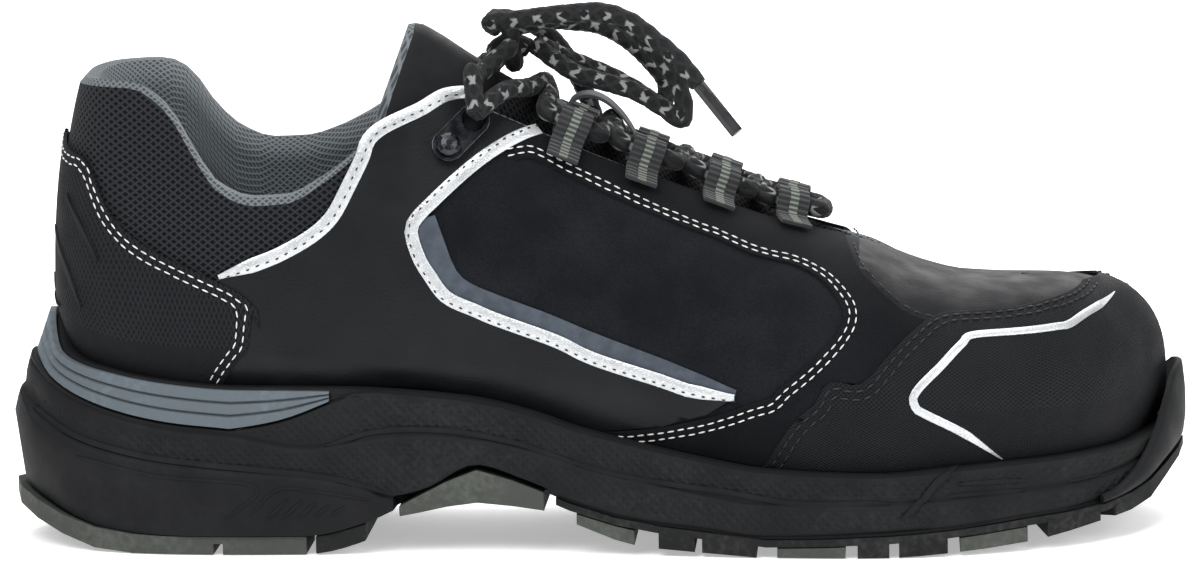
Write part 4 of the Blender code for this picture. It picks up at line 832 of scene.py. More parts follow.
def read_grid(grid, around, level):
    """Values between the grid's own, for arrays of the two coordinates."""
    a = ((np.asarray(around, float) + 1) % 2) / ROUND_STEP
    b = (np.clip(np.asarray(level, float), LEVEL_LOW, LEVEL_HIGH) - LEVEL_LOW) / LEVEL_STEP
    i = np.clip(a.astype(int), 0, ROUND_CELLS - 1)
    j = np.clip(b.astype(int), 0, LEVEL_CELLS - 1)
    u = (a - i)[..., None]
    w = (b - j)[..., None]
    low = grid[i, j] * (1 - u) + grid[i + 1, j] * u
    high = grid[i, j + 1] * (1 - u) + grid[i + 1, j + 1] * u
    return low * (1 - w) + high * w


def on_last(line, lift=0.0):
    """Places and outward ways on the last for rows of (round, level)."""
    line = np.asarray(line, float)
    places = read_grid(LAST_PLACES, line[:, 0], line[:, 1])
    outward = read_grid(LAST_OUTWARD, line[:, 0], line[:, 1])
    outward /= np.linalg.norm(outward, axis=1, keepdims=True)
    return places + outward * lift, outward


def last_tree():
    width = LEVEL_CELLS + 1
    firsts = [k for k in range(ROUND_CELLS * width) if k % width < LEVEL_CELLS]
    faces = [(k, k + width, k + width + 1, k + 1) for k in firsts]
    return BVHTree.FromPolygons([tuple(p) for p in LAST_PLACES.reshape(-1, 3)], faces)


LAST_TREE = last_tree()


def spot_of(hit):
    """(round, level) of a hit on the last."""
    i, j = divmod(hit[2], LEVEL_CELLS)
    corner = LAST_PLACES[i, j]
    away = np.array(hit[0]) - corner
    edge, rise = LAST_PLACES[i + 1, j] - corner, LAST_PLACES[i, j + 1] - corner
    u = np.clip(away @ edge / max(edge @ edge, 1e-12), 0, 1)
    w = np.clip(away @ rise / max(rise @ rise, 1e-12), 0, 1)
    return (-1 + (i + u) * ROUND_STEP, LEVEL_LOW + (j + w) * LEVEL_STEP)


def locate(px, py):
    """(round, level) of the spot on the last that a pixel of the photograph shows."""
    way = pixel_way(px, py)
    hit = LAST_TREE.ray_cast(CAMERA_PLACE, way)
    if hit[0] is None:
        hit = LAST_TREE.find_nearest(CAMERA_PLACE - way * (CAMERA_PLACE.y / way.y))
    around, level = spot_of(hit)
    return (around - 2 if around > 0.5 else around, level)


def trace(pixels):
    return [locate(px, py) for px, py in pixels]


LEVEL_SIZE = 0.055
LOW_RUN = 24 * MM
HIGH_RUN = 62 * MM

# Columns: pixels of the photograph along a soft trough, its half width and depth in mm.
TROUGHS = (
    (((405, 190), (392, 260), (398, 340), (420, 395)), 9.0, 0.9),
    (((300, 300), (330, 345), (380, 380)), 8.0, 0.5), (((885, 258), (905, 285), (922, 312)), 5.0, 0.6),
    (((600, 240), (650, 275), (710, 300)), 9.0, 0.5), (((560, 300), (620, 330), (690, 345)), 8.0, 0.4),
    (((120, 110), (150, 170), (200, 220)), 7.0, 0.8), (((240, 200), (290, 205), (330, 185)), 6.0, 0.7),
    (((800, 300), (790, 340), (755, 380)), 6.0, 0.5), (((880, 375), (850, 410), (835, 445)), 7.0, 0.5)
)


def level_run(level):
    """Distance up the last's side to a level."""
    level = np.asarray(level, float)
    return np.where(level < 1, level * LOW_RUN, LOW_RUN + (level - 1) * HIGH_RUN)


def trough_depth(around, level, lines):
    """How far the surface sinks at places (round, level)."""
    x = -np.abs((np.asarray(around, float) + 1) % 2 - 1) * LENGTH
    y = level_run(level)
    depth = np.zeros(np.broadcast(x, y).shape)
    for line, width, deep in lines:
        places = np.array(even_line(line, 3 * MM))
        near = np.full(depth.shape, 1.0)
        for c, v in places:
            near = np.minimum(near, (x - c * LENGTH) ** 2 + (y - level_run(v)) ** 2)
        depth += deep * MM * np.exp(-near / (width * MM) ** 2)
    return depth


def even_line(line, spacing=1.5 * MM):
    """A smooth line through rows of (round, level), at even distances over the surface."""
    fine = smooth_route([(c * LENGTH, v * LEVEL_SIZE, 0) for c, v in line], spacing)
    return [(x / LENGTH, y / LEVEL_SIZE) for x, y, _ in fine]


TROUGH_LINES = [(trace(pixels), width, deep) for pixels, width, deep in TROUGHS]
LAST_DEPTHS = trough_depth(
    np.linspace(-1, 1, ROUND_CELLS + 1)[:, None],
    np.linspace(LEVEL_LOW, LEVEL_HIGH, LEVEL_CELLS + 1)[None, :], TROUGH_LINES
)

LAST_PLACES -= LAST_OUTWARD * LAST_DEPTHS[:, :, None]


def shifted(line, distance):
    """A line moved sideways over the surface, to the left of its way seen from outside."""
    places, outward = on_last(line)
    left = np.cross(outward, ways_along(places)) * distance
    moved = []
    for spot, place in zip(line, places + left):
        if np.min(np.linalg.norm(places - place, axis=1)) < abs(distance) * 0.93:
            continue
        around, level = spot_of(LAST_TREE.find_nearest(place))
        moved.append((around - 2 * round((around - spot[0]) / 2), level))
    return moved


def mirrored(line):
    return [(-c, v) for c, v in line]


def top_level(around):
    """Level of the upper's top edge: collar, throat, or the ridge ahead of the throat."""
    around = (around + 1) % 2 - 1
    station = 1 - abs(around)
    return 1 + top_turn(station, LATERAL if around < 0 else MEDIAL)


def top_edge(start, end, margin=0.0, steps=24):
    return [(c, top_level(c) - margin) for c in np.linspace(start, end, steps)]


def rim_edge(start, end, level=-0.12, steps=24):
    return [(c, level) for c in np.linspace(start, end, steps)]


def inside_outline(outline, points):
    """Which points lie inside a closed outline."""
    outline = np.asarray(outline)
    points = np.asarray(points)
    inside = np.zeros(len(points), bool)
    for (x1, y1), (x2, y2) in zip(outline, np.roll(outline, -1, axis=0)):
        spans = (y1 > points[:, 1]) != (y2 > points[:, 1])
        if y1 != y2:
            cross = (x2 - x1) * (points[:, 1] - y1) / (y2 - y1) + x1
            inside ^= spans & (points[:, 0] < cross)
    return inside


# Objects and meshes
def add_object(name, mesh, *materials):
    mesh.name = name
    if mesh.materials:
        mesh.materials.clear()
    for material in materials:
        mesh.materials.append(material)
    thing = bpy.data.objects.new(name, mesh)
    bpy.context.scene.collection.objects.link(thing)
    mesh.shade_smooth()
    mesh.set_sharp_from_angle(angle=math.radians(38))
    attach(thing, "root")
    return thing


def mesh_from(bm, merge=2e-6):
    bmesh.ops.remove_doubles(bm, verts=bm.verts, dist=merge)
    bmesh.ops.recalc_face_normals(bm, faces=bm.faces)
    mesh = bpy.data.meshes.new("piece")
    bm.to_mesh(mesh)
    bm.free()
    return mesh


def grid_body(name, tops, bottoms, material):
    """A closed body between two grids of points."""
    bm, layer = new_body()
    lengths, widths = run_along([row[0] for row in tops]), run_along(tops[0])
    uv, grids = {}, []
    for points in (tops, bottoms):
        grid = [[bm.verts.new(p) for p in row] for row in points]
        for row, length in zip(grid, lengths):
            uv.update({vertex: (width / MM, length / MM) for vertex, width in zip(row, widths)})
        for first, second in zip(grid, grid[1:]):
            strip(bm, first, second)
        grids.append([grid[0], grid[-1], [row[0] for row in grid], [row[-1] for row in grid]])
    for high, low in zip(*grids):
        strip(bm, high, low)
    lay_uv(bm.faces, layer, uv)
    return add_object(name, mesh_from(bm), material)


def add_bevel(thing, width, segments=2, angle=35):
    bevel = thing.modifiers.new("worn edges", "BEVEL")
    bevel.width = width
    bevel.segments = segments
    bevel.limit_method = "ANGLE"
    bevel.angle_limit = math.radians(angle)


def rounded(points, reach):
    """A row of (x, y) points with each inner corner turned into a short curve."""
    points = [np.array(p, float) for p in points]
    made = [points[0]]
    for before, corner, after in zip(points, points[1:], points[2:]):
        ends = []
        for other in (before, after):
            away = other - corner
            length = np.linalg.norm(away)
            ends.append(corner + away * min(reach / max(length, 1e-9), 0.48))
        made += [ends[0], (ends[0] + 2 * corner + ends[1]) / 4, ends[1]]
    return made + [points[-1]]


PANEL_CELL = 3.0 * MM


def panel(name, outline, lift, thick, material):
    """A sheet cut to an outline of (round, level) and laid on the last."""
    scale = np.array([LENGTH, LEVEL_SIZE])
    flat = np.array(outline) * scale
    low, high = flat.min(axis=0), flat.max(axis=0)
    across, up = (np.arange(a + PANEL_CELL / 2, b, PANEL_CELL) for a, b in zip(low, high))
    fill = np.array([(x, y) for x in across for y in up])
    fill = fill[inside_outline(flat, fill)]
    gaps = [np.min(np.hypot(*(flat - point).T)) for point in fill]
    fill = fill[np.array(gaps) > PANEL_CELL * 0.55]
    points = [Vector(p) for p in np.vstack([flat, fill])]
    edges = [(i, (i + 1) % len(flat)) for i in range(len(flat))]
    made = delaunay_2d_cdt(points, edges, [], 1, 1e-7)
    spots = np.array([tuple(p) for p in made[0]]) / scale
    centres = np.array([spots[list(face)].mean(axis=0) for face in made[2]])
    bm, layer = new_body()
    tops, lows = ([bm.verts.new(p) for p in on_last(spots, at)[0]] for at in (lift + thick, lift))
    spread = np.column_stack([spots[:, 0] * LENGTH, level_run(spots[:, 1])]) / MM
    uv = {vertex: spot for row in (tops, lows) for vertex, spot in zip(row, spread)}
    for face, inside in zip(made[2], inside_outline(np.array(outline), centres)):
        if inside:
            bm.faces.new([tops[i] for i in face])
            bm.faces.new([lows[i] for i in reversed(face)])
    below = dict(zip(tops, lows))
    for a, b in [edge.verts for edge in bm.edges if edge.is_boundary]:
        if a in below:
            bm.faces.new((a, b, below[b], below[a]))
    lay_uv(bm.faces, layer, uv)
    loose = [vertex for vertex in bm.verts if not vertex.link_faces]
    bmesh.ops.delete(bm, geom=loose, context="VERTS")
    thing = add_object(name, mesh_from(bm), material)
    add_bevel(thing, min(0.45 * MM, thick * 0.45), 2, 50)
    return thing


def ribbon(name, line, width, lift, height, material, taper=(0.0, 0.0), taper_length=9 * MM):
    """A raised strip along a line of (round, level), narrowed at its ends."""
    places, outward = on_last(line, lift)
    return raised_strip(name, places, outward, width, height, material, taper, taper_length)


def raised_strip(name, places, outward, width, height, material, taper, taper_length):
    """A raised strip along places whose outward ways are known."""
    runs = run_along(places)
    bm, layer = new_body()
    rows, uv = [], {}
    profile = ((-1.0, -0.3), (-1.0, 0.55), (-0.86, 1.0), (0.86, 1.0), (1.0, 0.55), (1.0, -0.3))
    for point, out, ahead, run in zip(places, outward, ways_along(places), runs):
        left = np.cross(out, ahead)
        ends = zip(taper, (run, runs[-1] - run))
        half = width / 2 * min(t + (1 - t) * min(way / taper_length, 1) for t, way in ends) + 0.05 * MM
        row = [bm.verts.new(point + left * half * a + out * height * b) for a, b in profile]
        uv.update({vertex: (a * half / MM, run / MM) for vertex, (a, _) in zip(row, profile)})
        rows.append(row)
    sweep(bm, rows)
    lay_uv(bm.faces, layer, uv)
    return add_object(name, mesh_from(bm), material)


# Geometry Nodes tree for stitches along a seam
def add_node(tree, kind, settings=None, links=None, **values):
    """A node with its settings, values and links in one call."""
    node = tree.nodes.new(kind)
    for key, value in (settings or {}).items():
        setattr(node, key, value)
    for key, value in values.items():
        node.inputs[key.replace("_", " ")].default_value = value
    for key, socket in (links or {}).items():
        tree.links.new(socket, node.inputs[key])
    return node


def stitch_tree():
    tree = bpy.data.node_groups.new("Stitch run", "GeometryNodeTree")
    face = tree.interface
    face.new_socket("Geometry", in_out="INPUT", socket_type="NodeSocketGeometry")
    for name, value in (("Pitch", 2.7 * MM), ("Length", 2.1 * MM), ("Thickness", 0.62 * MM)):
        socket = face.new_socket(name, in_out="INPUT", socket_type="NodeSocketFloat")
        socket.default_value = value
        socket.subtype = "DISTANCE"
    face.new_socket("Thread", in_out="INPUT", socket_type="NodeSocketMaterial")
    face.new_socket("Geometry", in_out="OUTPUT", socket_type="NodeSocketGeometry")
    given = tree.nodes.new("NodeGroupInput")
    curve = add_node(tree, "GeometryNodeMeshToCurve", links={"Mesh": given.outputs["Geometry"]})
    even = add_node(
        tree, "GeometryNodeResampleCurve", {"mode": "LENGTH"},
        {"Curve": curve.outputs[0], "Length": given.outputs["Pitch"]}
    )
    ball = add_node(tree, "GeometryNodeMeshUVSphere", Segments=7, Rings=5, Radius=0.5)
    size = add_node(
        tree, "ShaderNodeCombineXYZ",
        links={
            "X": given.outputs["Thickness"], "Y": given.outputs["Thickness"], "Z": given.outputs["Length"]
        }
    )
    thread = add_node(
        tree, "GeometryNodeTransform", links={"Geometry": ball.outputs["Mesh"], "Scale": size.outputs[0]}
    )
    tangent = tree.nodes.new("GeometryNodeInputTangent")
    turn = add_node(
        tree, "FunctionNodeAlignRotationToVector", {"axis": "Z"}, {"Vector": tangent.outputs[0]}
    )
    placed = add_node(
        tree, "GeometryNodeInstanceOnPoints",
        links={"Points": even.outputs[0], "Instance": thread.outputs[0], "Rotation": turn.outputs[0]}
    )
    real = add_node(tree, "GeometryNodeRealizeInstances", links={"Geometry": placed.outputs[0]})
    coloured = add_node(
        tree, "GeometryNodeSetMaterial",
        links={"Geometry": real.outputs[0], "Material": given.outputs["Thread"]}
    )
    result = tree.nodes.new("NodeGroupOutput")
    tree.links.new(coloured.outputs[0], result.inputs[0])
    return tree


def socket_id(tree, name):
    for item in tree.interface.items_tree:
        if item.item_type == "SOCKET" and item.in_out == "INPUT" and item.name == name:
            return item.identifier
    raise KeyError(name)


def stitches(name, lines, lift, material, pitch, length, thickness):
    """Runs of stitches along lines of (round, level), as one plain mesh."""
    mesh = bpy.data.meshes.new(name)
    points, edges = [], []
    for line in lines:
        places, _ = on_last(line, lift)
        first = len(points)
        points += [tuple(p) for p in places]
        edges += [(first + i, first + i + 1) for i in range(len(places) - 1)]
    mesh.from_pydata(points, edges, [])
    run = bpy.data.objects.new(name + "_run", mesh)
    bpy.context.scene.collection.objects.link(run)
    tree = bpy.data.node_groups.get("Stitch run") or stitch_tree()
    modifier = run.modifiers.new("stitches", "NODES")
    modifier.node_group = tree
    for key, value in (("Pitch", pitch), ("Length", length), ("Thickness", thickness)):
        modifier[socket_id(tree, key)] = value
    modifier[socket_id(tree, "Thread")] = material
    graph = bpy.context.evaluated_depsgraph_get()
    plain = bpy.data.meshes.new_from_object(run.evaluated_get(graph), depsgraph=graph)
    bpy.data.objects.remove(run, do_unlink=True)
    return add_object(name, plain, material)


# Braided cord with its strands in the mesh
ROPE_SIDES = 16
ROPE_STEP = 0.75 * MM
BRAID_LAY = 5.2 * MM


def rope_into(bm, layer, route, diameter):
    """A braided cord along a route, put into a mesh that is being made."""
    points = np.array(smooth_route(route, ROPE_STEP))
    ways = ways_along(points)
    side = unit(np.cross(ways[0], (0.0, 0.31, 0.95)))
    rows, uv = [], {}
    for point, ahead, run in zip(points, ways, run_along(points)):
        side = unit(side - ahead * (side @ ahead))
        other = np.cross(ahead, side)
        twist = 2 * math.pi * run / BRAID_LAY
        row = []
        for k in range(ROPE_SIDES):
            angle = 2 * math.pi * k / ROPE_SIDES
            strand_high = max(math.cos(4 * angle + twist), math.cos(4 * angle - twist))
            radius = diameter / 2 * (0.94 + 0.08 * strand_high)
            spot = point + (side * math.cos(angle) + other * math.sin(angle)) * radius
            row.append(bm.verts.new(spot))
            uv[row[-1]] = (k / ROPE_SIDES, run / MM)
        rows.append(row)
    for first, second in zip(rows, rows[1:]):
        lay_uv(strip(bm, first, second, closed=True), layer, uv, 1.0)
    lay_uv([bm.faces.new(rows[0][::-1]), bm.faces.new(rows[-1])], layer, uv)
    return points


def rope(name, routes, diameter, material):
    bm, layer = new_body()
    paths = [rope_into(bm, layer, route, diameter) for route in routes]
    bmesh.ops.recalc_face_normals(bm, faces=bm.faces)
    mesh = bpy.data.meshes.new(name)
    bm.to_mesh(mesh)
    bm.free()
    return add_object(name, mesh, material), paths


# Materials
def linear(code):
    """Linear colour of an sRGB hex code."""
    parts = [int(code[i : i + 2], 16) / 255 for i in (1, 3, 5)]
    return tuple(p / 12.92 if p <= 0.04045 else ((p + 0.055) / 1.055) ** 2.4 for p in parts) + (1.0,)


class Recipe:
    """A procedural material under construction, with short calls for its usual nodes."""

    def __init__(self, name, roughness, metallic=0.0, ior=1.5, coat=0.0, sheen=0.0, shine=0.5):
        self.made = bpy.data.materials.new(name)
        self.made.use_nodes = True
        self.tree = self.made.node_tree
        self.shader = self.tree.nodes["Principled BSDF"].inputs
        for socket, value in (
            ("Roughness", roughness), ("Metallic", metallic), ("IOR", ior), ("Coat Weight", coat),
            ("Coat Roughness", 0.35), ("Specular IOR Level", shine), ("Sheen Weight", sheen),
            ("Sheen Roughness", 0.45)
        ):
            self.shader[socket].default_value = value
        place = self.node("ShaderNodeTexCoord")
        self.across, self.along = self.node("ShaderNodeSeparateXYZ", links={0: place["UV"]})[:2]
        scale = {"operation": "SCALE"}
        self.object_mm = self.node("ShaderNodeVectorMath", scale, {0: place["Object"]}, Scale=1 / MM)[0]
        self.relief = None

    def node(self, kind, settings=None, links=None, **values):
        return add_node(self.tree, kind, settings, links, **values).outputs

    def math(self, operation, first, second=0.0):
        node = add_node(self.tree, "ShaderNodeMath", {"operation": operation}, {0: first})
        if isinstance(second, (int, float)):
            node.inputs[1].default_value = second
        else:
            self.tree.links.new(second, node.inputs[1])
        return node.outputs[0]

    def noise(self, size, detail=3.0):
        """Noise with grains of a size in mm."""
        links = {"Vector": self.object_mm}
        return self.node("ShaderNodeTexNoise", None, links, Scale=1 / size, Detail=detail)["Fac"]

    def cells(self, size):
        links = {"Vector": self.object_mm}
        return self.node("ShaderNodeTexVoronoi", {"feature": "F1"}, links, Scale=1 / size)["Distance"]

    def between(self, value, low, high, start=0.0, end=1.0):
        ends = {"From_Min": low, "From_Max": high, "To_Min": start, "To_Max": end}
        eased = {"interpolation_type": "SMOOTHSTEP"}
        return self.node("ShaderNodeMapRange", eased, {"Value": value}, **ends)["Result"]

    def blend(self, share, first, second):
        node = add_node(self.tree, "ShaderNodeMix", {"data_type": "RGBA"}, {0: share})
        for index, value in ((6, first), (7, second)):
            if isinstance(value, str):
                node.inputs[index].default_value = linear(value)
            else:
                self.tree.links.new(value, node.inputs[index])
        return node.outputs[2]

    def colour(self, share, first, second):
        self.tree.links.new(self.blend(share, first, second), self.shader["Base Color"])

    def roughness(self, value, low, high):
        self.tree.links.new(self.between(value, 0.25, 0.75, low, high), self.shader["Roughness"])

    def bump(self, height, depth, strength=1.0):
        """Relief of a depth in mm, added to any before it."""
        links = {"Height": height}
        if self.relief:
            links["Normal"] = self.relief
        self.relief = self.node("ShaderNodeBump", None, links, Strength=strength, Distance=depth * MM)[0]
        self.tree.links.new(self.relief, self.shader["Normal"])

    def wave(self, value, length):
        return self.math("SINE", self.math("MULTIPLY", value, 2 * math.pi / length))

    def crossing(self, across, along):
        """The higher of two waves that cross, at a pitch across and along the piece's own UV."""
        x = self.math("MULTIPLY", self.across, 2 * math.pi / across)
        y = self.math("MULTIPLY", self.along, 2 * math.pi / along)
        first, second = (self.math("SINE", self.math(way, x, y)) for way in ("ADD", "SUBTRACT"))
        return self.math("MAXIMUM", first, second)

    def lattice(self, across, along):
        return self.math("MULTIPLY_ADD", self.crossing(across, along), 0.5)


def leather(name, code, worn, roughness, grain, depth, shine):
    """Finished hide: fine pebbled grain, uneven gloss and slightly paler high spots."""
    recipe = Recipe(name, roughness, shine=shine)
    broad = recipe.noise(24)
    pebbles = recipe.cells(grain)
    recipe.colour(recipe.between(broad, 0.35, 0.75), code, worn)
    recipe.roughness(recipe.noise(7), roughness - 0.06, roughness + 0.08)
    recipe.bump(recipe.noise(16, 2), 0.5, 0.35)
    recipe.bump(pebbles, depth)
    return recipe.made


def nap(name, code, pale, sheen):
    """Brushed hide with a short nap and no gloss."""
    recipe = Recipe(name, 0.95, sheen=sheen, shine=0.06)
    fuzz = recipe.noise(0.45, 4)
    broad = recipe.noise(18, 3)
    both = recipe.math("MULTIPLY", fuzz, broad)
    recipe.colour(recipe.between(both, 0.12, 0.42), code, pale)
    recipe.bump(fuzz, 0.12)
    return recipe.made


def air_mesh(name, thread, hole, across, along, depth=0.5, sheen=0.15):
    """Knitted spacer mesh, with dark holes between raised threads."""
    recipe = Recipe(name, 0.85, sheen=sheen, shine=0.1)
    net = recipe.lattice(across, along)
    share = recipe.between(net, 0.42, 0.95)
    recipe.colour(share, hole, thread)
    recipe.bump(recipe.noise(12, 2), 0.8, 0.4)
    recipe.bump(share, depth)
    return recipe.made


def woven(name, code, pale, pitch, roughness=0.7, depth=0.16):
    """Coated synthetic with a fine woven grain."""
    recipe = Recipe(name, roughness, shine=0.12)
    net = recipe.lattice(pitch, pitch * 0.8)
    share = recipe.between(net, 0.35, 1.0)
    recipe.colour(share, code, pale)
    recipe.roughness(recipe.noise(9), roughness - 0.08, roughness + 0.08)
    recipe.bump(share, depth)
    return recipe.made


def rubber(name, code, dusty, roughness=0.72, hatch=0.0, depth=0.08):
    """Moulded rubber, with a fine cast skin, dust in patches and a crossed hatch where asked."""
    recipe = Recipe(name, roughness, ior=1.52, shine=0.2)
    dust = recipe.math("MULTIPLY", recipe.noise(26, 3), recipe.noise(1.6, 4))
    recipe.colour(recipe.between(dust, 0.2, 0.45), code, dusty)
    recipe.roughness(recipe.noise(11), roughness - 0.08, roughness + 0.1)
    recipe.bump(recipe.noise(0.7, 4), depth)
    if hatch:
        recipe.bump(recipe.lattice(hatch, hatch), 0.35)
    return recipe.made


def braid(name):
    """Round polyester braid: dark strands with pale flecks in a herringbone."""
    recipe = Recipe(name, 0.78, sheen=0.05, shine=0.25)
    weave = recipe.crossing(0.25, BRAID_LAY / MM)
    slow = recipe.between(recipe.wave(recipe.along, 6.5), 0.25, 0.7)
    around = recipe.between(recipe.wave(recipe.across, 0.5), -0.1, 0.4)
    fleck = recipe.math("MULTIPLY", slow, around)
    fleck = recipe.math("MULTIPLY", fleck, recipe.between(weave, 0.25, 0.6))
    dark = recipe.blend(recipe.between(weave, 0.0, 0.9), "#0c0d0e", "#1a1b1d")
    recipe.colour(fleck, dark, "#7c7e7e")
    recipe.bump(recipe.between(weave, -0.2, 1.0), 0.3)
    recipe.bump(recipe.noise(0.3, 3), 0.08)
    return recipe.made


def tape(name):
    """Silver retro-reflective film with a fine cell pattern."""
    recipe = Recipe(name, 0.36, metallic=0.55)
    cells = recipe.cells(0.55)
    recipe.colour(recipe.between(cells, 0.1, 0.5), "#d6d8d9", "#bdc0c2")
    recipe.roughness(recipe.noise(5), 0.28, 0.48)
    recipe.bump(cells, 0.06)
    return recipe.made


def ladder(name, code, pale, pitch):
    """Ribbed webbing, with ribs across its length."""
    recipe = Recipe(name, 0.82, sheen=0.15)
    share = recipe.between(recipe.wave(recipe.along, pitch), -0.6, 0.8)
    recipe.colour(share, code, pale)
    recipe.bump(share, 0.3)
    return recipe.made


def plain(name, code, pale, roughness, metallic=0.0, grain=0.6, depth=0.03, coat=0.0, shine=0.4):
    """A smooth finish with slight unevenness."""
    recipe = Recipe(name, roughness, metallic=metallic, coat=coat, shine=shine)
    mottle = recipe.noise(grain * 6)
    recipe.colour(recipe.between(mottle, 0.3, 0.7), code, pale)
    recipe.roughness(mottle, max(roughness - 0.07, 0.05), roughness + 0.07)
    recipe.bump(recipe.noise(grain, 3), depth)
    return recipe.made


LOOKS = {}


def make_looks():
    LOOKS.update(
        nubuck=nap("black nubuck, brushed", "#0f1013", "#1b1c20", 0.12),
        saddle=leather("black leather, smooth finish", "#101114", "#17181b", 0.42, 0.6, 0.05, 0.16),
        vamp=leather("black leather, polished", "#0f1013", "#141518", 0.5, 0.7, 0.04, 0.06),
        eyestay=nap("black suede, fine", "#0d0e10", "#16171a", 0.06),
        collar=air_mesh("black spacer mesh, knitted", "#26282c", "#050506", 2.5, 1.9, 0.4, 0.05),
        patch=air_mesh("black ribbed textile, knitted", "#1c1d20", "#070708", 1.8, 1.5, 0.4, 0.05),
        lining=air_mesh("grey lining mesh, knitted", "#6a7073", "#3f4447", 1.9, 1.6, 0.3, 0.2),
        guard=woven("black coated textile, woven grain", "#0b0c0e", "#1c1d20", 1.25),
        fin=plain("black film, embossed", "#131417", "#1a1b1e", 0.55, shine=0.15),
        accent=plain("slate textile, printed", "#3a4048", "#474e57", 0.8, depth=0.08, shine=0.2),
        silver=tape("silver reflective film, laminated"),
        white_thread=plain("pale polyester thread, twisted", "#c2c2c0", "#d6d6d4", 0.7, grain=0.3),
        black_thread=plain("black polyester thread, twisted", "#0b0b0c", "#151517", 0.6, grain=0.3),
        tongue=plain("black tongue textile, coated", "#0f1012", "#17181a", 0.6, depth=0.1, shine=0.12),
        webbing=ladder("black webbing, woven", "#101113", "#2a2b2e", 1.5),
        stripe=ladder("grey-green webbing stripe, woven", "#353835", "#71786f", 1.3),
        keeper=plain("dark grey synthetic leather, pressed", "#3a3c40", "#4a4c50", 0.55),
        gunmetal=plain("gunmetal steel, plated", "#2c2d30", "#3c3e42", 0.24, 1.0),
        eyelet_hole=plain("black enamel, stoved", "#0c0c0d", "#161617", 0.45),
        aglet=plain("black acetate film, heat-shrunk", "#101012", "#1c1c1f", 0.3, coat=0.3),
        lace=braid("black braided lace, polyester"),
        sole=rubber("black rubber, moulded", "#0d0e10", "#131416"),
        hatched=rubber("black rubber, moulded with crossed hatch", "#0f1012", "#1b1c1e", 0.72, 2.4),
        tread=rubber("black rubber tread, moulded", "#151617", "#2c2c2b", 0.8),
        grey_tread=rubber("grey rubber tread, moulded", "#3e413d", "#4c4f4b", 0.75),
        band=rubber("slate rubber band, moulded", "#535b61", "#616a71", 0.55, depth=0.05),
        insole=woven("grey insole textile, woven", "#4a4e50", "#6a6f72", 1.6),
        floor=plain("pale studio floor, painted", "#fafafa", "#fcfcfc", 0.8)
    )


# Outlines read from the photograph, in its pixels
COUNTER_EDGE = (
    (66, 128), (70, 145), (83, 158), (95, 176), (105, 202), (123, 228), (148, 247), (178, 263), (208, 277),
    (237, 291), (257, 307), (263, 318), (262, 329), (249, 348), (230, 371), (224, 380)
)
REAR_TRIM = (
    (464, 94), (445, 96), (420, 111), (376, 136), (363, 159), (349, 189), (334, 216), (315, 235),
    (286, 252), (257, 264), (219, 277)
)
FRONT_TRIM = (
    (538, 131), (500, 147), (468, 170), (439, 197), (416, 220), (412, 233), (420, 258), (430, 275),
    (448, 296), (476, 310), (500, 320), (560, 342), (592, 357), (661, 380), (725, 396), (735, 397)
)
ACCENT_EDGE = (
    (437, 214), (446, 240), (456, 268), (470, 282), (500, 295), (560, 318), (640, 350), (700, 374),
    (737, 390)
)
WINDOW_EDGE = (
    (516, 160), (530, 158), (546, 165), (576, 180), (610, 196), (647, 212), (684, 227), (718, 240),
    (748, 254), (771, 261), (794, 266), (817, 278), (833, 293), (844, 311), (843, 325), (831, 343),
    (810, 364), (791, 380), (775, 394), (752, 404), (707, 418), (638, 429), (600, 430)
)
VAMP_SEAM = ((848, 247), (857, 268), (878, 291), (904, 312), (928, 321))
GUARD_EDGE = (
    (763, 467), (793, 423), (822, 390), (857, 385), (872, 375), (916, 330), (931, 319), (954, 315),
    (1004, 312), (1048, 303), (1071, 294), (1081, 284)
)
CHEVRON = (
    (1111, 296), (1086, 315), (1066, 328), (1051, 331), (975, 338), (960, 347), (939, 368), (916, 391),
    (913, 403), (922, 412), (963, 432), (1000, 456)
)
FINS = (
    ((72, 194), (84, 228), (102, 261)), ((62, 224), (72, 266), (87, 307)), ((59, 273), (61, 290), (66, 305))
)
PANEL_LIFT = 0.05 * MM
PANEL_THICK = 0.9 * MM
TOP_MARGIN = 0.02
RIM_LEVEL = 0.02
SIDES = (("lateral", False), ("medial", True))


def on_side(line, medial):
    return mirrored(line) if medial else list(line)


def simple(line, spacing=2.5 * MM):
    return even_line(trace(line), spacing)


def between_rounds(start, end, steps=14):
    return rim_edge(start, end, RIM_LEVEL, steps)


def sunk_column(station, side, around):
    """The part's outer points, let down into the soft troughs."""
    points = np.array(outer_column(station, side))
    top = top_turn(station, side)
    low = [-0.2] * (len(points) - UPPER_ROWS - LOW_ROWS - 1)
    levels = low + [i / LOW_ROWS for i in range(LOW_ROWS)]
    levels += [1 + top * i / UPPER_ROWS for i in range(UPPER_ROWS + 1)]
    rounds = np.full(len(levels), around)
    outward = read_grid(LAST_OUTWARD, rounds, levels)
    depth = read_grid(LAST_DEPTHS[:, :, None], rounds, levels)
    return [tuple(p) for p in points - outward * depth]


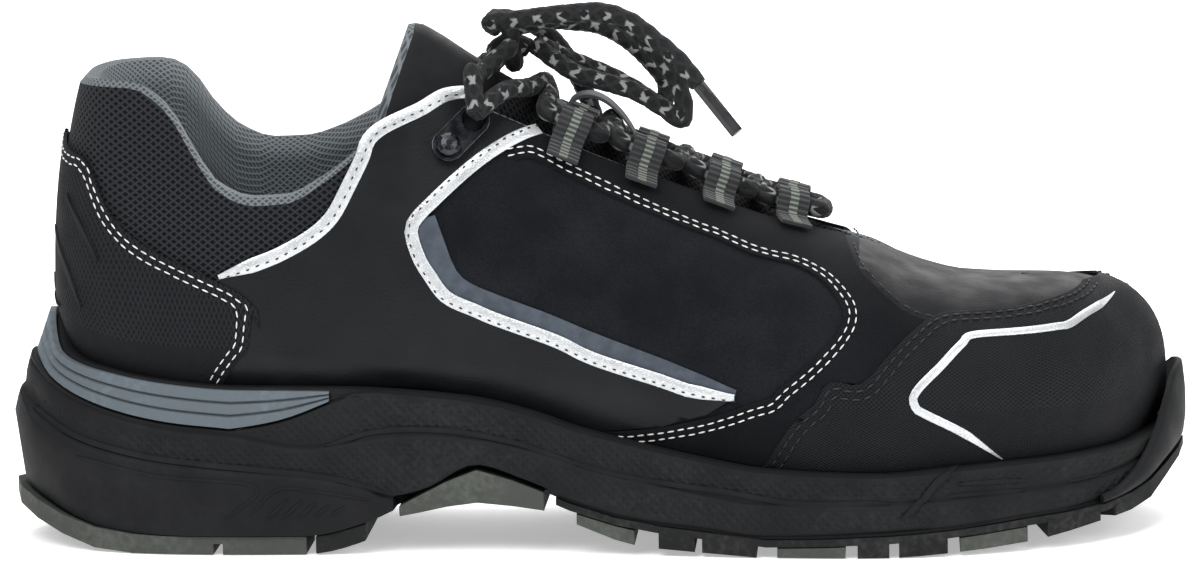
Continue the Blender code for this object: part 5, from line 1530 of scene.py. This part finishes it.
def make_skin():
    """The upper's outer face, rolled edge and inner face as one closed body."""
    bm, layer = new_body()
    columns, rounds, shut, uv = [], [], [], {}
    for station, side in round_places():
        around = side * (1 - station)
        outer, inner = sunk_column(station, side, around), inner_column(station, side)
        edge = [tuple(p) for p in np.linspace(outer[-1], inner[-1], 5)[1:-1]]
        points = outer + (rolled_edge(outer, inner) if station < VAMP_POINT else edge) + inner[::-1]
        columns.append([bm.verts.new(p) for p in points])
        for vertex, run in zip(columns[-1], run_along(points)):
            uv[vertex] = (around * LENGTH / MM, run / MM)
        rounds.append(around)
        shut.append(station >= VAMP_POINT)
    last = len(outer) - 1
    rear = np.array(trace(REAR_TRIM)[::-1]).T
    vamp = np.array(sorted(trace(VAMP_SEAM), key=lambda spot: spot[1])).T
    for i, first in enumerate(columns):
        j = (i + 1) % len(columns)
        second = columns[j]
        for k in range(len(first)):
            if last <= k < last + 4 and shut[i] and shut[j]:
                continue
            n = (k + 1) % len(first)
            face = bm.faces.new((first[k], first[n], second[n], second[k]))
            face.material_index = 1
            if k < last:
                face.material_index = zone_at(face.calc_center_median(), rounds[i], rear, vamp)
    lay_uv(bm.faces, layer, uv, 2 * LENGTH / MM)
    looks = [LOOKS[look] for look in ("nubuck", "lining", "collar", "vamp")]
    thing = add_object("upper_skin", mesh_from(bm), *looks)
    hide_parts("upper")


def round_places():
    outer = [(s, LATERAL) for s in STATIONS]
    inner = [(s, MEDIAL) for s in reversed(STATIONS[1:-1])]
    return outer + inner


def zone_at(middle, around, rear, vamp):
    """Material of a spot on the outer face: mesh behind the rear trim, hide on the vamp."""
    away = -abs(around)
    level = LEVEL_LOW + (LAST_TREE.find_nearest(middle)[2] % LEVEL_CELLS + 0.5) * LEVEL_STEP
    if away < np.interp(level, rear[1], rear[0]):
        return 2
    return 3 if level > vamp[1][0] and away > np.interp(level, vamp[1], vamp[0]) else 0


def make_panels(thick):
    """Counter, saddle, eyestay and toe guard, cut to the photograph and laid on the last."""
    counter = simple(COUNTER_EDGE)
    counter[-1] = (counter[-1][0], RIM_LEVEL)
    back = [(-2 - c, v) for c, v in reversed(counter)]
    rim_run = between_rounds(counter[-1][0], back[0][0], 40)[1:-1]
    top = [(c, counter[0][1]) for c in np.linspace(back[-1][0], counter[0][0], 8)][1:-1]
    outline = counter + rim_run + back + top
    cover = panel("counter_panel", outline, PANEL_LIFT + 0.5 * MM, thick, LOOKS["guard"])
    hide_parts("heel_counter")

    guard = simple(GUARD_EDGE)
    guard[0] = (guard[0][0], RIM_LEVEL)
    other = mirrored(guard[::-1])
    across = [(c, guard[-1][1]) for c in np.linspace(guard[-1][0], -guard[-1][0], 10)][1:-1]
    rim_run = between_rounds(other[-1][0], guard[0][0], 40)[1:-1]
    outline = guard + across + other + rim_run
    cover = panel("guard_panel", outline, PANEL_LIFT + 0.5 * MM, thick, LOOKS["guard"])
    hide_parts("toe_guard")

    rear = simple(REAR_TRIM)
    front = simple(FRONT_TRIM)
    window = simple(WINDOW_EDGE)
    vamp = simple(VAMP_SEAM)
    saddle = rear + [(counter[-1][0] - 0.01, counter[-1][1] + 0.3), (counter[-1][0] - 0.01, RIM_LEVEL)]
    saddle += between_rounds(saddle[-1][0], window[-1][0], 26)[1:]
    saddle += [locate(660, 426), locate(707, 414)]
    saddle += front[::-1]
    saddle += top_edge(front[0][0], rear[0][0], TOP_MARGIN, 8)

    eyestay = list(window)
    eyestay[-1] = (window[-1][0], RIM_LEVEL)
    eyestay += between_rounds(eyestay[-1][0], guard[0][0] + 0.012, 16)[1:]
    meet = [point for point in guard if point[0] < vamp[-1][0]]
    eyestay += [(c + 0.008, v) for c, v in meet[1:]]
    eyestay += vamp[::-1]
    eyestay += top_edge(vamp[0][0] - 0.004, window[0][0], TOP_MARGIN, 30)
    for word, medial in SIDES:
        panel(f"saddle_{word}", on_side(saddle, medial), PANEL_LIFT, thick, LOOKS["saddle"])
        panel(f"eyestay_{word}", on_side(eyestay, medial), PANEL_LIFT, thick, LOOKS["eyestay"])


TRIM_WIDTH = 3.6 * MM
CHEVRON_WIDTH = 2.0 * MM
TRIM_HEIGHT = 0.35 * MM


def make_trims(top, width):
    """Reflective strips, the slate strip beside them and the counter's fins."""
    rear = simple(REAR_TRIM, 1.2 * MM)
    front = simple(FRONT_TRIM, 1.2 * MM)
    accent = simple(ACCENT_EDGE, 2.0 * MM) + trace(FRONT_TRIM[:3:-1])
    chevron = simple(CHEVRON, 1.0 * MM)
    for word, medial in SIDES:
        ribbon(f"rear_trim_{word}", on_side(rear, medial), width, top, TRIM_HEIGHT,
               LOOKS["silver"], (1, 0.3))
        ribbon(f"front_trim_{word}", on_side(front, medial), width * 0.9, top, TRIM_HEIGHT,
               LOOKS["silver"], (1, 0.5))
        ribbon(f"toe_chevron_{word}", on_side(chevron, medial), CHEVRON_WIDTH,
               top + 0.5 * MM, 0.25 * MM, LOOKS["silver"], (0.1, 0.1), 12 * MM)
        panel(f"accent_strip_{word}", on_side(accent, medial), PANEL_LIFT, 0.45 * MM, LOOKS["accent"])
        for number, fin in enumerate(FINS, 1):
            line = simple(fin, 1.5 * MM)
            ribbon(f"counter_fin_{word}_{number}", on_side(line, medial), 1.6 * MM,
                   top + 0.5 * MM, 0.45 * MM, LOOKS["fin"], (0.1, 0.1), 9 * MM)


def make_seams(top):
    """Pale and black stitch rows beside the edges of the panels."""
    counter = simple(COUNTER_EDGE, 1.5 * MM)
    window = simple(WINDOW_EDGE, 1.5 * MM)
    guard = simple(GUARD_EDGE, 1.5 * MM)
    vamp = simple(VAMP_SEAM, 1.5 * MM)
    rear = simple(REAR_TRIM, 1.5 * MM)
    front = simple(FRONT_TRIM, 1.5 * MM)
    pale, dark, punched = [], [], []
    for _, medial in SIDES:
        flip = -1 if medial else 1
        for line, rows, lift, where in (
            (counter, (1.4, 3.2), top + 0.5 * MM, pale), (window, (-1.3, -3.0), top, pale),
            (guard, (1.6, 3.6), top + 0.5 * MM, dark), (vamp, (-1.4,), top, dark),
            (rear, (-0.7,), top + TRIM_HEIGHT, punched), (front, (0.7,), top + TRIM_HEIGHT, punched)
        ):
            for row in rows:
                moved = shifted(on_side(line, medial), -row * MM * flip)
                where.append((moved, lift))
    for name, rows, look, sizes in (
        ("pale_stitches", pale, "white_thread", (2.7, 1.9, 0.42)),
        ("black_stitches", dark, "black_thread", (2.9, 2.2, 0.6)),
        ("trim_stitches", punched, "black_thread", (2.6, 1.0, 0.42))
    ):
        for lift in sorted({lift for _, lift in rows}):
            lines = [line for line, high in rows if high == lift]
            label = f"{name}_{round(lift / MM * 100)}"
            stitches(label, lines, lift + 0.12 * MM, LOOKS[look], *(size * MM for size in sizes))


SOLE_ROUND = 0.8 * MM
HEEL_ROUND = 5.0 * MM
HEEL_ROUND_END = 0.16
HATCHED_ROWS = (9, 18)

# Columns: height, inset of the heel's back, both in mm.
HEEL_BACK = (
    (12.0, 4.2), (15.8, 2.9), (20.9, 0.6), (27.9, 0.0), (35.2, 1.35), (41.6, 3.5), (44.2, 4.4), (50.4, 6.4)
)
heel_inset = smooth(tuple((height * MM, inset * MM) for height, inset in HEEL_BACK), 1)
TONGUE_STEPS = 64
TONGUE_FINE = 28
TONGUE_ROUND = 0.35
WING_END = 0.415
WING_SPREAD = 4.0 * MM
WING_DROP = 15.0 * MM
WING_BACK = 8.0 * MM
TONGUE_MESH_START = 0.42
TONGUE_BACK_ROWS = 1


def make_tongue():
    """The tongue with rounded edges and a grey lining at its back."""
    first, last = TONGUE[0][0], TONGUE[-1][0]
    bm, layer = new_body()
    rows, uv = [], {}
    for station in np.linspace(first, last, TONGUE_STEPS + 1):
        ahead, behind = min(station + 0.01, last), max(station - 0.01, first)
        slope_x = station_x(ahead) - station_x(behind)
        slope_z = tongue_crest(ahead) - tongue_crest(behind)
        down = unit(np.array([slope_z, 0, -slope_x]))
        row = []
        for k in range(2 * TONGUE_FINE):
            turn = math.pi * k / TONGUE_FINE
            away, upper_half = -math.cos(turn), math.sin(turn)
            side = LATERAL if away < 0 else MEDIAL
            reach = tongue_half(station) * abs(away) ** 0.8
            fade = min(max((WING_END - station) / (WING_END - first), 0), 1)
            wing = fade * min(max((abs(away) - 0.45) / 0.55, 0), 1)
            y = spine_offset(station) + side * (reach + WING_SPREAD * wing)
            high = np.array([station_x(station), y, tongue_over(station, side, reach)])
            high -= np.array([WING_BACK, 0, WING_DROP]) * wing**1.3
            depth = 0.5 - 0.5 * math.copysign(abs(upper_half) ** TONGUE_ROUND, upper_half)
            row.append(bm.verts.new(high + down * tongue_thick(station) * depth))
            uv[row[-1]] = (side * reach / MM, station_x(station) / MM)
        rows.append(row)
    sweep(bm, rows)
    lay_uv(bm.faces, layer, uv)
    for face in bm.faces:
        if face.normal.z < -0.2 or len(face.verts) > 4:
            face.material_index = 1
    bm.normal_update()
    for face in bm.faces:
        if face.material_index == 0 and share_of(face.calc_center_median().x) > TONGUE_MESH_START:
            face.material_index = 2
    for row in rows[:TONGUE_BACK_ROWS]:
        for vertex in row:
            for face in vertex.link_faces:
                face.material_index = 1
    looks = [LOOKS[look] for look in ("tongue", "lining", "patch")]
    thing = add_object("tongue_padded", mesh_from(bm), *looks)
    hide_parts("tongue")


STRIPE_HALF = 1.15 * MM


def make_loops():
    """Ribbed webbing loops with their grey-green stripe."""
    for side, word in ((LATERAL, "lateral"), (MEDIAL, "medial")):
        for number, station in enumerate(LOOP_STATIONS, 1):
            origin, forward, up, out = surface_frame(station, side, 0, 0)
            path = smooth_route([(-a * MM, b * MM, 0) for a, b in LOOP_PATH], 0.7 * MM)
            for name, low, high, half, look in (
                ("lace_loop", -0.5, 0.5, LOOP_WIDTH / 2, "webbing"),
                ("loop_stripe", 0.35, 0.68, STRIPE_HALF, "stripe")
            ):
                tops, bottoms = [], []
                for i, point in enumerate(path):
                    way = np.subtract(path[min(i + 1, len(path) - 1)], path[max(i - 1, 0)])
                    way /= np.linalg.norm(way)
                    normal = np.array([-way[1], way[0]]) * WEBBING
                    for rows, share in ((tops, high), (bottoms, low)):
                        place = np.array(point[:2]) + normal * share
                        centre = origin + up * place[0] + out * place[1]
                        rows.append([tuple(centre + forward * half * k) for k in (-1, -0.5, 0, 0.5, 1)])
                thing = grid_body(f"{name}_fine_{word}_{number}", tops, bottoms, LOOKS[look])
                if name == "lace_loop":
                    add_bevel(thing, 0.25 * MM)
                    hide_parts(f"lace_loop_{word}_{number}")


def make_keeper():
    """The keeper strap arched over the lace."""
    steps = 40
    tops, bottoms = [], []
    for i in range(steps + 1):
        share = i / steps
        station = KEEPER_START + (KEEPER_END - KEEPER_START) * share
        rise = KEEPER_RISE * math.sin(math.pi * min(max((share - 0.12) / 0.74, 0), 1)) ** 0.6
        row = []
        for across in np.linspace(-1, 1, 7):
            side = LATERAL if across < 0 else MEDIAL
            y = spine_offset(station) + across * KEEPER_HALF
            low = tongue_over(station, side, KEEPER_HALF * abs(across)) + GAP + rise + 0.3 * MM
            row.append((station_x(station), y, low))
        bottoms.append(row)
        tops.append([(x, y, z + KEEPER_THICKNESS) for x, y, z in row])
    thing = grid_body("lace_keeper_strap", tops, bottoms, LOOKS["keeper"])
    add_bevel(thing, 0.3 * MM)
    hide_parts("lace_keeper")


def make_laces():
    """Free loops and ends of the bow as cords; the crossed strands, bar and knot as fixed pieces."""
    for name, route, aglet in (
        ("lace_loop_near", NEAR_LOOP, None), ("lace_loop_far", FAR_LOOP, None),
        ("lace_end_near", NEAR_END, "aglet_near"), ("lace_end_far", FAR_END, "aglet_far")
    ):
        points = smooth_route(np.array(route) * MM, 8 * MM)
        thing, paths = rope(name + "_braid", [points], LACE_DIAMETER, LOOKS["lace"])
        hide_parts(name)
    rows = (HOOK_STATION,) + LOOP_STATIONS
    routes = []
    for behind, ahead in zip(rows, rows[1:]):
        routes += [strand(ahead, side, behind, -side) for side in (LATERAL, MEDIAL)]
    for station in LOOP_STATIONS:
        for side in (LATERAL, MEDIAL):
            spot, way = lace_spot(station, side)
            routes.append(
                [spot - way * (LOOP_CLEAR + 0.2 * MM), spot, spot + way * (LOOP_CLEAR + 0.2 * MM)]
            )
    routes += [tie_strand(side) for side in (LATERAL, MEDIAL)]
    routes.append(bar_route())
    thing, _ = rope("lace_run", routes, LACE_DIAMETER, LOOKS["lace"])
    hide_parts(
        "lace_crossing_1", "lace_crossing_2", "lace_crossing_3", "lace_crossing_4", "lace_bar"
    )
    knot, _ = rope("lace_knot_tied", knot_routes(), LACE_DIAMETER, LOOKS["lace"])
    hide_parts("lace_knot")


def bar_route():
    front = LOOP_STATIONS[-1]
    first, way = lace_spot(front, LATERAL)
    last, other_way = lace_spot(front, MEDIAL)
    lead = LOOP_CLEAR + STRAIGHT_RUN
    inward = np.array([0, 0.2 * MM, 0])
    middle = (first + last) / 2 + (way + other_way) / 2 * (lead + 1.0 * MM)
    middle[2] = lace_floor(middle[0], middle[1])
    near = LOOP_WIDTH / 2 + GAP
    route = [first + way * near, first + way * lead + inward, middle]
    return route + [last + other_way * lead - inward, last + other_way * near]


def knot_routes():
    """A band round the knot's middle and two crossed strands beneath it."""
    centre = np.array(KNOT_PLACE)
    wide, deep, tall = (radius - LACE_DIAMETER / MM / 2 for radius in KNOT_RADII)
    band = []
    for k in range(17):
        turn = math.pi * k / 8
        band.append(
            (0.9 * math.sin(turn / 2), math.sin(turn) * (deep + 1.2), math.cos(turn) * (tall + 1.2))
        )
    routes = [band]
    for side in (-1, 1):
        routes.append(
            [(-wide, side, -1.5), (-2.0, side * 2.6, 0.6), (2.0, side * 2.6, 0.6), (wide, side * 1.4, -0.5)]
        )
    return [[(centre + np.array(spot)) * MM for spot in route] for route in routes]


def heel_curve(point, station, side):
    """Draws the top of the heel block in, so that the heel's back is one round."""
    height = point[2]
    fade = max(1 - station / HEEL_ROUND_END, 0) ** 0.7
    inset = heel_inset(height) * fade
    edge = np.array(sole_point(station, side, 0, height))
    inner = np.array(sole_point(station, side, 1 * MM, height))
    way = (inner - edge) / MM
    depth = (np.array(point) - edge) @ way
    return tuple(edge + way * max(depth, inset))


def corner_reach(station):
    """Rounding of the midsole's edges, widest at the heel's back."""
    return SOLE_ROUND + (HEEL_ROUND - SOLE_ROUND) * max(1 - station / HEEL_ROUND_END, 0)


def make_sole():
    """The midsole at fine steps, with hatched bands along its side."""
    bm, layer = new_body()
    columns, uv = [], {}
    for station, side in round_places():
        around = side * (1 - station)
        profile = rounded(midsole_column(station, side), corner_reach(station))
        columns.append([bm.verts.new(heel_curve(p, station, side)) for p in profile])
        uv.update({vertex: (around * LENGTH / MM, vertex.co.z / MM) for vertex in columns[-1]})
    rows = list(zip(*columns))
    for index, (first, second) in enumerate(zip(rows, rows[1:])):
        for face in strip(bm, first, second, closed=True):
            face.material_index = int(index in HATCHED_ROWS)
    lay_uv(bm.faces, layer, uv, 2 * LENGTH / MM)
    for row in (rows[0], rows[-1]):
        half = len(row) // 2
        strip(bm, row[: half + 1], (row[0],) + row[: half - 1 : -1])
    thing = add_object("midsole_fine", mesh_from(bm), LOOKS["sole"], LOOKS["hatched"])
    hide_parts("midsole")
    return thing


def section_body(name, stations, section, look):
    """A body with a section at each station, from the outer side round to the inner."""
    bm = bmesh.new()
    places = [(s, LATERAL) for s in stations] + [(s, MEDIAL) for s in stations[-2::-1]]
    sweep(bm, [[bm.verts.new(p) for p in section(s, side)] for s, side in places])
    return add_object(name, mesh_from(bm), LOOKS[look])


def make_band():
    """The ribbed band round the heel."""
    stations = [BAND_TAIL] + [s for s in reversed(STATIONS) if s < BAND_TAIL - 0.004]
    band = section_body("heel_band_ribs", stations, band_section, "band")
    add_bevel(band, 0.45 * MM, 3, 30)
    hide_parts("heel_band")


def bumper_section(station, side):
    share = edge_share(station, side)
    low = tread_top(share) + GAP
    high = max(bumper_top(share), low + 1.0 * MM)
    profile = (
        (BUMPER_THICKNESS, low), (0.9 * MM, low), (0.1 * MM, low + (high - low) * 0.3),
        (0.2 * MM, low + (high - low) * 0.65), (1.0 * MM, high), (BUMPER_THICKNESS, high)
    )
    return rounded([sole_point(station, side, step, height) for step, height in profile], 1.6 * MM)


def make_bumper():
    """The toe bumper with a rounded face."""
    stations = [BUMPER_START] + [s for s in STATIONS if s > BUMPER_START + 0.004]
    thing = section_body("toe_bumper_fine", stations, bumper_section, "hatched")
    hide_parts("toe_bumper")
    return thing


# Raised lines and ribs of the sole: pixels of the photograph, width and height in mm.
RUBBER_LINES = (
    (((34, 406), (78, 437), (141, 456), (203, 465), (266, 471), (328, 478), (385, 492)), 1.5, 0.5),
    (((75, 456), (156, 476), (256, 487), (225, 520)), 0.7, 0.22),
    (((250, 515), (277, 490), (312, 491), (368, 500)), 0.7, 0.22),
    (((236, 431), (269, 418), (312, 402), (359, 395)), 1.3, 0.4),
    (
        (
            (325, 446), (375, 432), (440, 430), (512, 442), (583, 466), (631, 478), (727, 492), (799, 504),
            (890, 503)
        ),
        1.3, 0.4
    ),
    (((957, 467), (937, 483), (923, 500), (901, 520)), 1.8, 0.55), (((947, 496), (1026, 490)), 1.1, 0.3),
    (((957, 484), (1026, 480)), 1.1, 0.3), (((1069, 481), (1120, 470)), 1.1, 0.3),
    *((((267 + k * 16, 519 - k), (288 + k * 14, 499 + k * 2)), 1.1, 0.3) for k in range(5))
)


def make_sole_lines(bodies):
    """Raised lines of the sole, laid where the photograph shows them, and on the inner side too."""
    graph = bpy.context.evaluated_depsgraph_get()
    trees = [BVHTree.FromObject(body, graph) for body in bodies]

    def first_hit(start, way):
        hits = [hit for hit in (tree.ray_cast(start, way) for tree in trees) if hit[0] is not None]
        return min(hits, key=lambda hit: hit[3])[:2] if hits else None

    for number, (pixels, width, height) in enumerate(RUBBER_LINES, 1):
        fine = smooth_route([(px, py, 0) for px, py in pixels], 5)
        seen = [hit for hit in (first_hit(CAMERA_PLACE, pixel_way(*p[:2])) for p in fine) if hit]
        inward = Vector((0, -1, 0))
        back = [first_hit(Vector((place.x, 0.5, place.z)), inward) for place, _ in seen]
        for word, hits in (("lateral", seen), ("medial", [hit for hit in back if hit])):
            if len(hits) < 3:
                raise RuntimeError(f"sole line {number} misses the sole")
            places, outward = (np.array([tuple(part) for part in parts]) for parts in zip(*hits))
            name = f"sole_line_{word}_{number}"
            sizes = (width * MM, height * MM)
            raised_strip(name, places, outward, *sizes, LOOKS["sole"], (0.25, 0.25), 4 * MM)


def dress_nodes():
    """Materials and softened edges for the CAD nodes that stay."""
    looks = {
        "insole": ("insole", 0.5), "heel_outsole": ("grey_tread", 0.3), "heel_breast_lug": ("tread", 0.3),
        "forefoot_outsole": ("tread", 0.3), "arch_bridge": ("grey_tread", 0.3),
        "aglet_near": ("aglet", 0.2), "aglet_far": ("aglet", 0.2)
    }
    for word, _ in SIDES:
        looks[f"lace_hook_{word}"] = ("gunmetal", 0.25)
        looks[f"hook_rivet_{word}"] = ("gunmetal", 0.2)
        for number in (1, 2, 3):
            looks[f"tread_block_{word}_{number}"] = ("grey_tread", 0.3)
    for name, (look, width) in looks.items():
        thing = NODES[name]
        thing.data.materials.clear()
        thing.data.materials.append(LOOKS[look])
        weld = thing.modifiers.new("joined corners", "WELD")
        weld.merge_threshold = 0.002 * MM
        add_bevel(thing, width * MM, 2, 30)


# The studio: pale floor, even soft light and the photograph's camera
def make_camera():
    data = bpy.data.cameras.new("photo camera")
    data.sensor_width = SENSOR_WIDTH
    data.lens = FOCAL_PIXELS / PHOTO_WIDTH * SENSOR_WIDTH
    data.shift_x = -PHOTO_SHIFT[0] / PHOTO_WIDTH
    data.shift_y = PHOTO_SHIFT[1] / PHOTO_WIDTH
    data.clip_start = 0.1
    data.clip_end = 20
    data.dof.use_dof = False
    camera = bpy.data.objects.new("photo camera", data)
    bpy.context.scene.collection.objects.link(camera)
    matrix = Matrix((CAMERA_RIGHT, CAMERA_UP, -VIEW_WAY)).transposed().to_4x4()
    matrix.translation = CAMERA_PLACE
    camera.matrix_world = matrix
    bpy.context.scene.camera = camera


ROOM_LIGHT = 0.34
FLOOR_GLOW = 0.4


def make_stage():
    bpy.ops.mesh.primitive_plane_add(size=12, location=(0, 0, -0.2 * MM))
    floor = bpy.context.object
    floor.name = "studio_floor"
    floor.data.materials.append(LOOKS["floor"])
    shader = LOOKS["floor"].node_tree.nodes["Principled BSDF"]
    shader.inputs["Emission Color"].default_value = (1, 1, 1, 1)
    shader.inputs["Emission Strength"].default_value = FLOOR_GLOW
    for name, place, size, watts in (
        ("key light", (-0.7, -1.5, 1.9), 1.6, 46), ("fill light", (1.6, -1.2, 1.0), 1.4, 22),
        ("top light", (0.1, 0.3, 2.0), 1.8, 30), ("back light", (0.4, 1.8, 1.2), 1.6, 26)
    ):
        data = bpy.data.lights.new(name, "AREA")
        data.size = size
        data.energy = watts
        light = bpy.data.objects.new(name, data)
        bpy.context.scene.collection.objects.link(light)
        light.location = place
        light.rotation_euler = (Vector((0, 0, 0.05)) - Vector(place)).to_track_quat("-Z", "Y").to_euler()
    world = bpy.data.worlds.new("white studio")
    world.use_nodes = True
    tree = world.node_tree
    seen = tree.nodes["Background"]
    seen.inputs["Color"].default_value = (1, 1, 1, 1)
    lit = add_node(tree, "ShaderNodeBackground", Strength=ROOM_LIGHT)
    path = tree.nodes.new("ShaderNodeLightPath")
    both = tree.nodes.new("ShaderNodeMixShader")
    tree.links.new(path.outputs["Is Camera Ray"], both.inputs[0])
    tree.links.new(lit.outputs[0], both.inputs[1])
    tree.links.new(seen.outputs[0], both.inputs[2])
    tree.links.new(both.outputs[0], tree.nodes["World Output"].inputs[0])
    bpy.context.scene.world = world
    bpy.context.scene.view_settings.view_transform = "Standard"


# Add-on: one operator for each group of pieces and one for the studio
class SneakerLook(bpy.types.PropertyGroup):
    panel_thickness: bpy.props.FloatProperty(
        name="Panel thickness", description="Thickness of the sewn panels over the upper",
        default=PANEL_THICK, unit="LENGTH"
    )
    trim_width: bpy.props.FloatProperty(
        name="Trim width", description="Width of the reflective strips", default=TRIM_WIDTH, unit="LENGTH"
    )


class SNEAKER_OT_set_camera(bpy.types.Operator):
    """Place the photograph's camera"""

    bl_idname = "sneaker.set_camera"
    bl_label = "Set camera"

    def execute(self, context):
        make_camera()
        return {"FINISHED"}


class SNEAKER_OT_mix_materials(bpy.types.Operator):
    """Make the procedural materials"""

    bl_idname = "sneaker.mix_materials"
    bl_label = "Mix materials"

    def execute(self, context):
        make_looks()
        return {"FINISHED"}


class SNEAKER_OT_tie_laces(bpy.types.Operator):
    """Lay the braided lace, its bow and the knot"""

    bl_idname = "sneaker.tie_laces"
    bl_label = "Tie laces"

    def execute(self, context):
        make_laces()
        return {"FINISHED"}


class SNEAKER_OT_cover_upper(bpy.types.Operator):
    """Make the upper's skin, panels, trims and seams"""

    bl_idname = "sneaker.cover_upper"
    bl_label = "Cover upper"

    def execute(self, context):
        look = context.scene.sneaker_look
        make_skin()
        make_panels(look.panel_thickness)
        make_trims(PANEL_LIFT + look.panel_thickness, look.trim_width)
        make_seams(PANEL_LIFT + look.panel_thickness)
        return {"FINISHED"}


class SNEAKER_OT_fit_tongue(bpy.types.Operator):
    """Make the tongue, keeper strap and lace loops"""

    bl_idname = "sneaker.fit_tongue"
    bl_label = "Fit tongue"

    def execute(self, context):
        make_tongue()
        make_keeper()
        make_loops()
        return {"FINISHED"}


class SNEAKER_OT_mould_sole(bpy.types.Operator):
    """Make the midsole, band and bumper, and dress the rubber and metal nodes"""

    bl_idname = "sneaker.mould_sole"
    bl_label = "Mould sole"

    def execute(self, context):
        sole = make_sole()
        make_band()
        make_sole_lines((sole, make_bumper()))
        dress_nodes()
        return {"FINISHED"}


class SNEAKER_OT_set_studio(bpy.types.Operator):
    """Make the floor and the lights"""

    bl_idname = "sneaker.set_studio"
    bl_label = "Set studio"

    def execute(self, context):
        make_stage()
        return {"FINISHED"}


OPERATORS = (
    SNEAKER_OT_set_camera, SNEAKER_OT_mix_materials, SNEAKER_OT_tie_laces, SNEAKER_OT_cover_upper,
    SNEAKER_OT_fit_tongue, SNEAKER_OT_mould_sole, SNEAKER_OT_set_studio
)


class SNEAKER_PT_panel(bpy.types.Panel):
    bl_label = "Safety sneaker"
    bl_idname = "SNEAKER_PT_panel"
    bl_space_type = "VIEW_3D"
    bl_region_type = "UI"
    bl_category = "Sneaker"

    def draw(self, context):
        look = context.scene.sneaker_look
        self.layout.prop(look, "panel_thickness")
        self.layout.prop(look, "trim_width")
        for kind in OPERATORS:
            self.layout.operator(kind.bl_idname)


CLASSES = (SneakerLook, *OPERATORS, SNEAKER_PT_panel)


def register():
    for kind in CLASSES:
        bpy.utils.register_class(kind)
    bpy.types.Scene.sneaker_look = bpy.props.PointerProperty(type=SneakerLook)


def unregister():
    del bpy.types.Scene.sneaker_look
    for kind in reversed(CLASSES):
        bpy.utils.unregister_class(kind)


def main():
    register()
    bpy.ops.sneaker.set_camera()
    bpy.ops.sneaker.mix_materials()
    bpy.ops.sneaker.tie_laces()
    bpy.ops.sneaker.cover_upper()
    bpy.ops.sneaker.fit_tongue()
    bpy.ops.sneaker.mould_sole()
    bpy.ops.sneaker.set_studio()


if __name__ == "__main__":
    main()
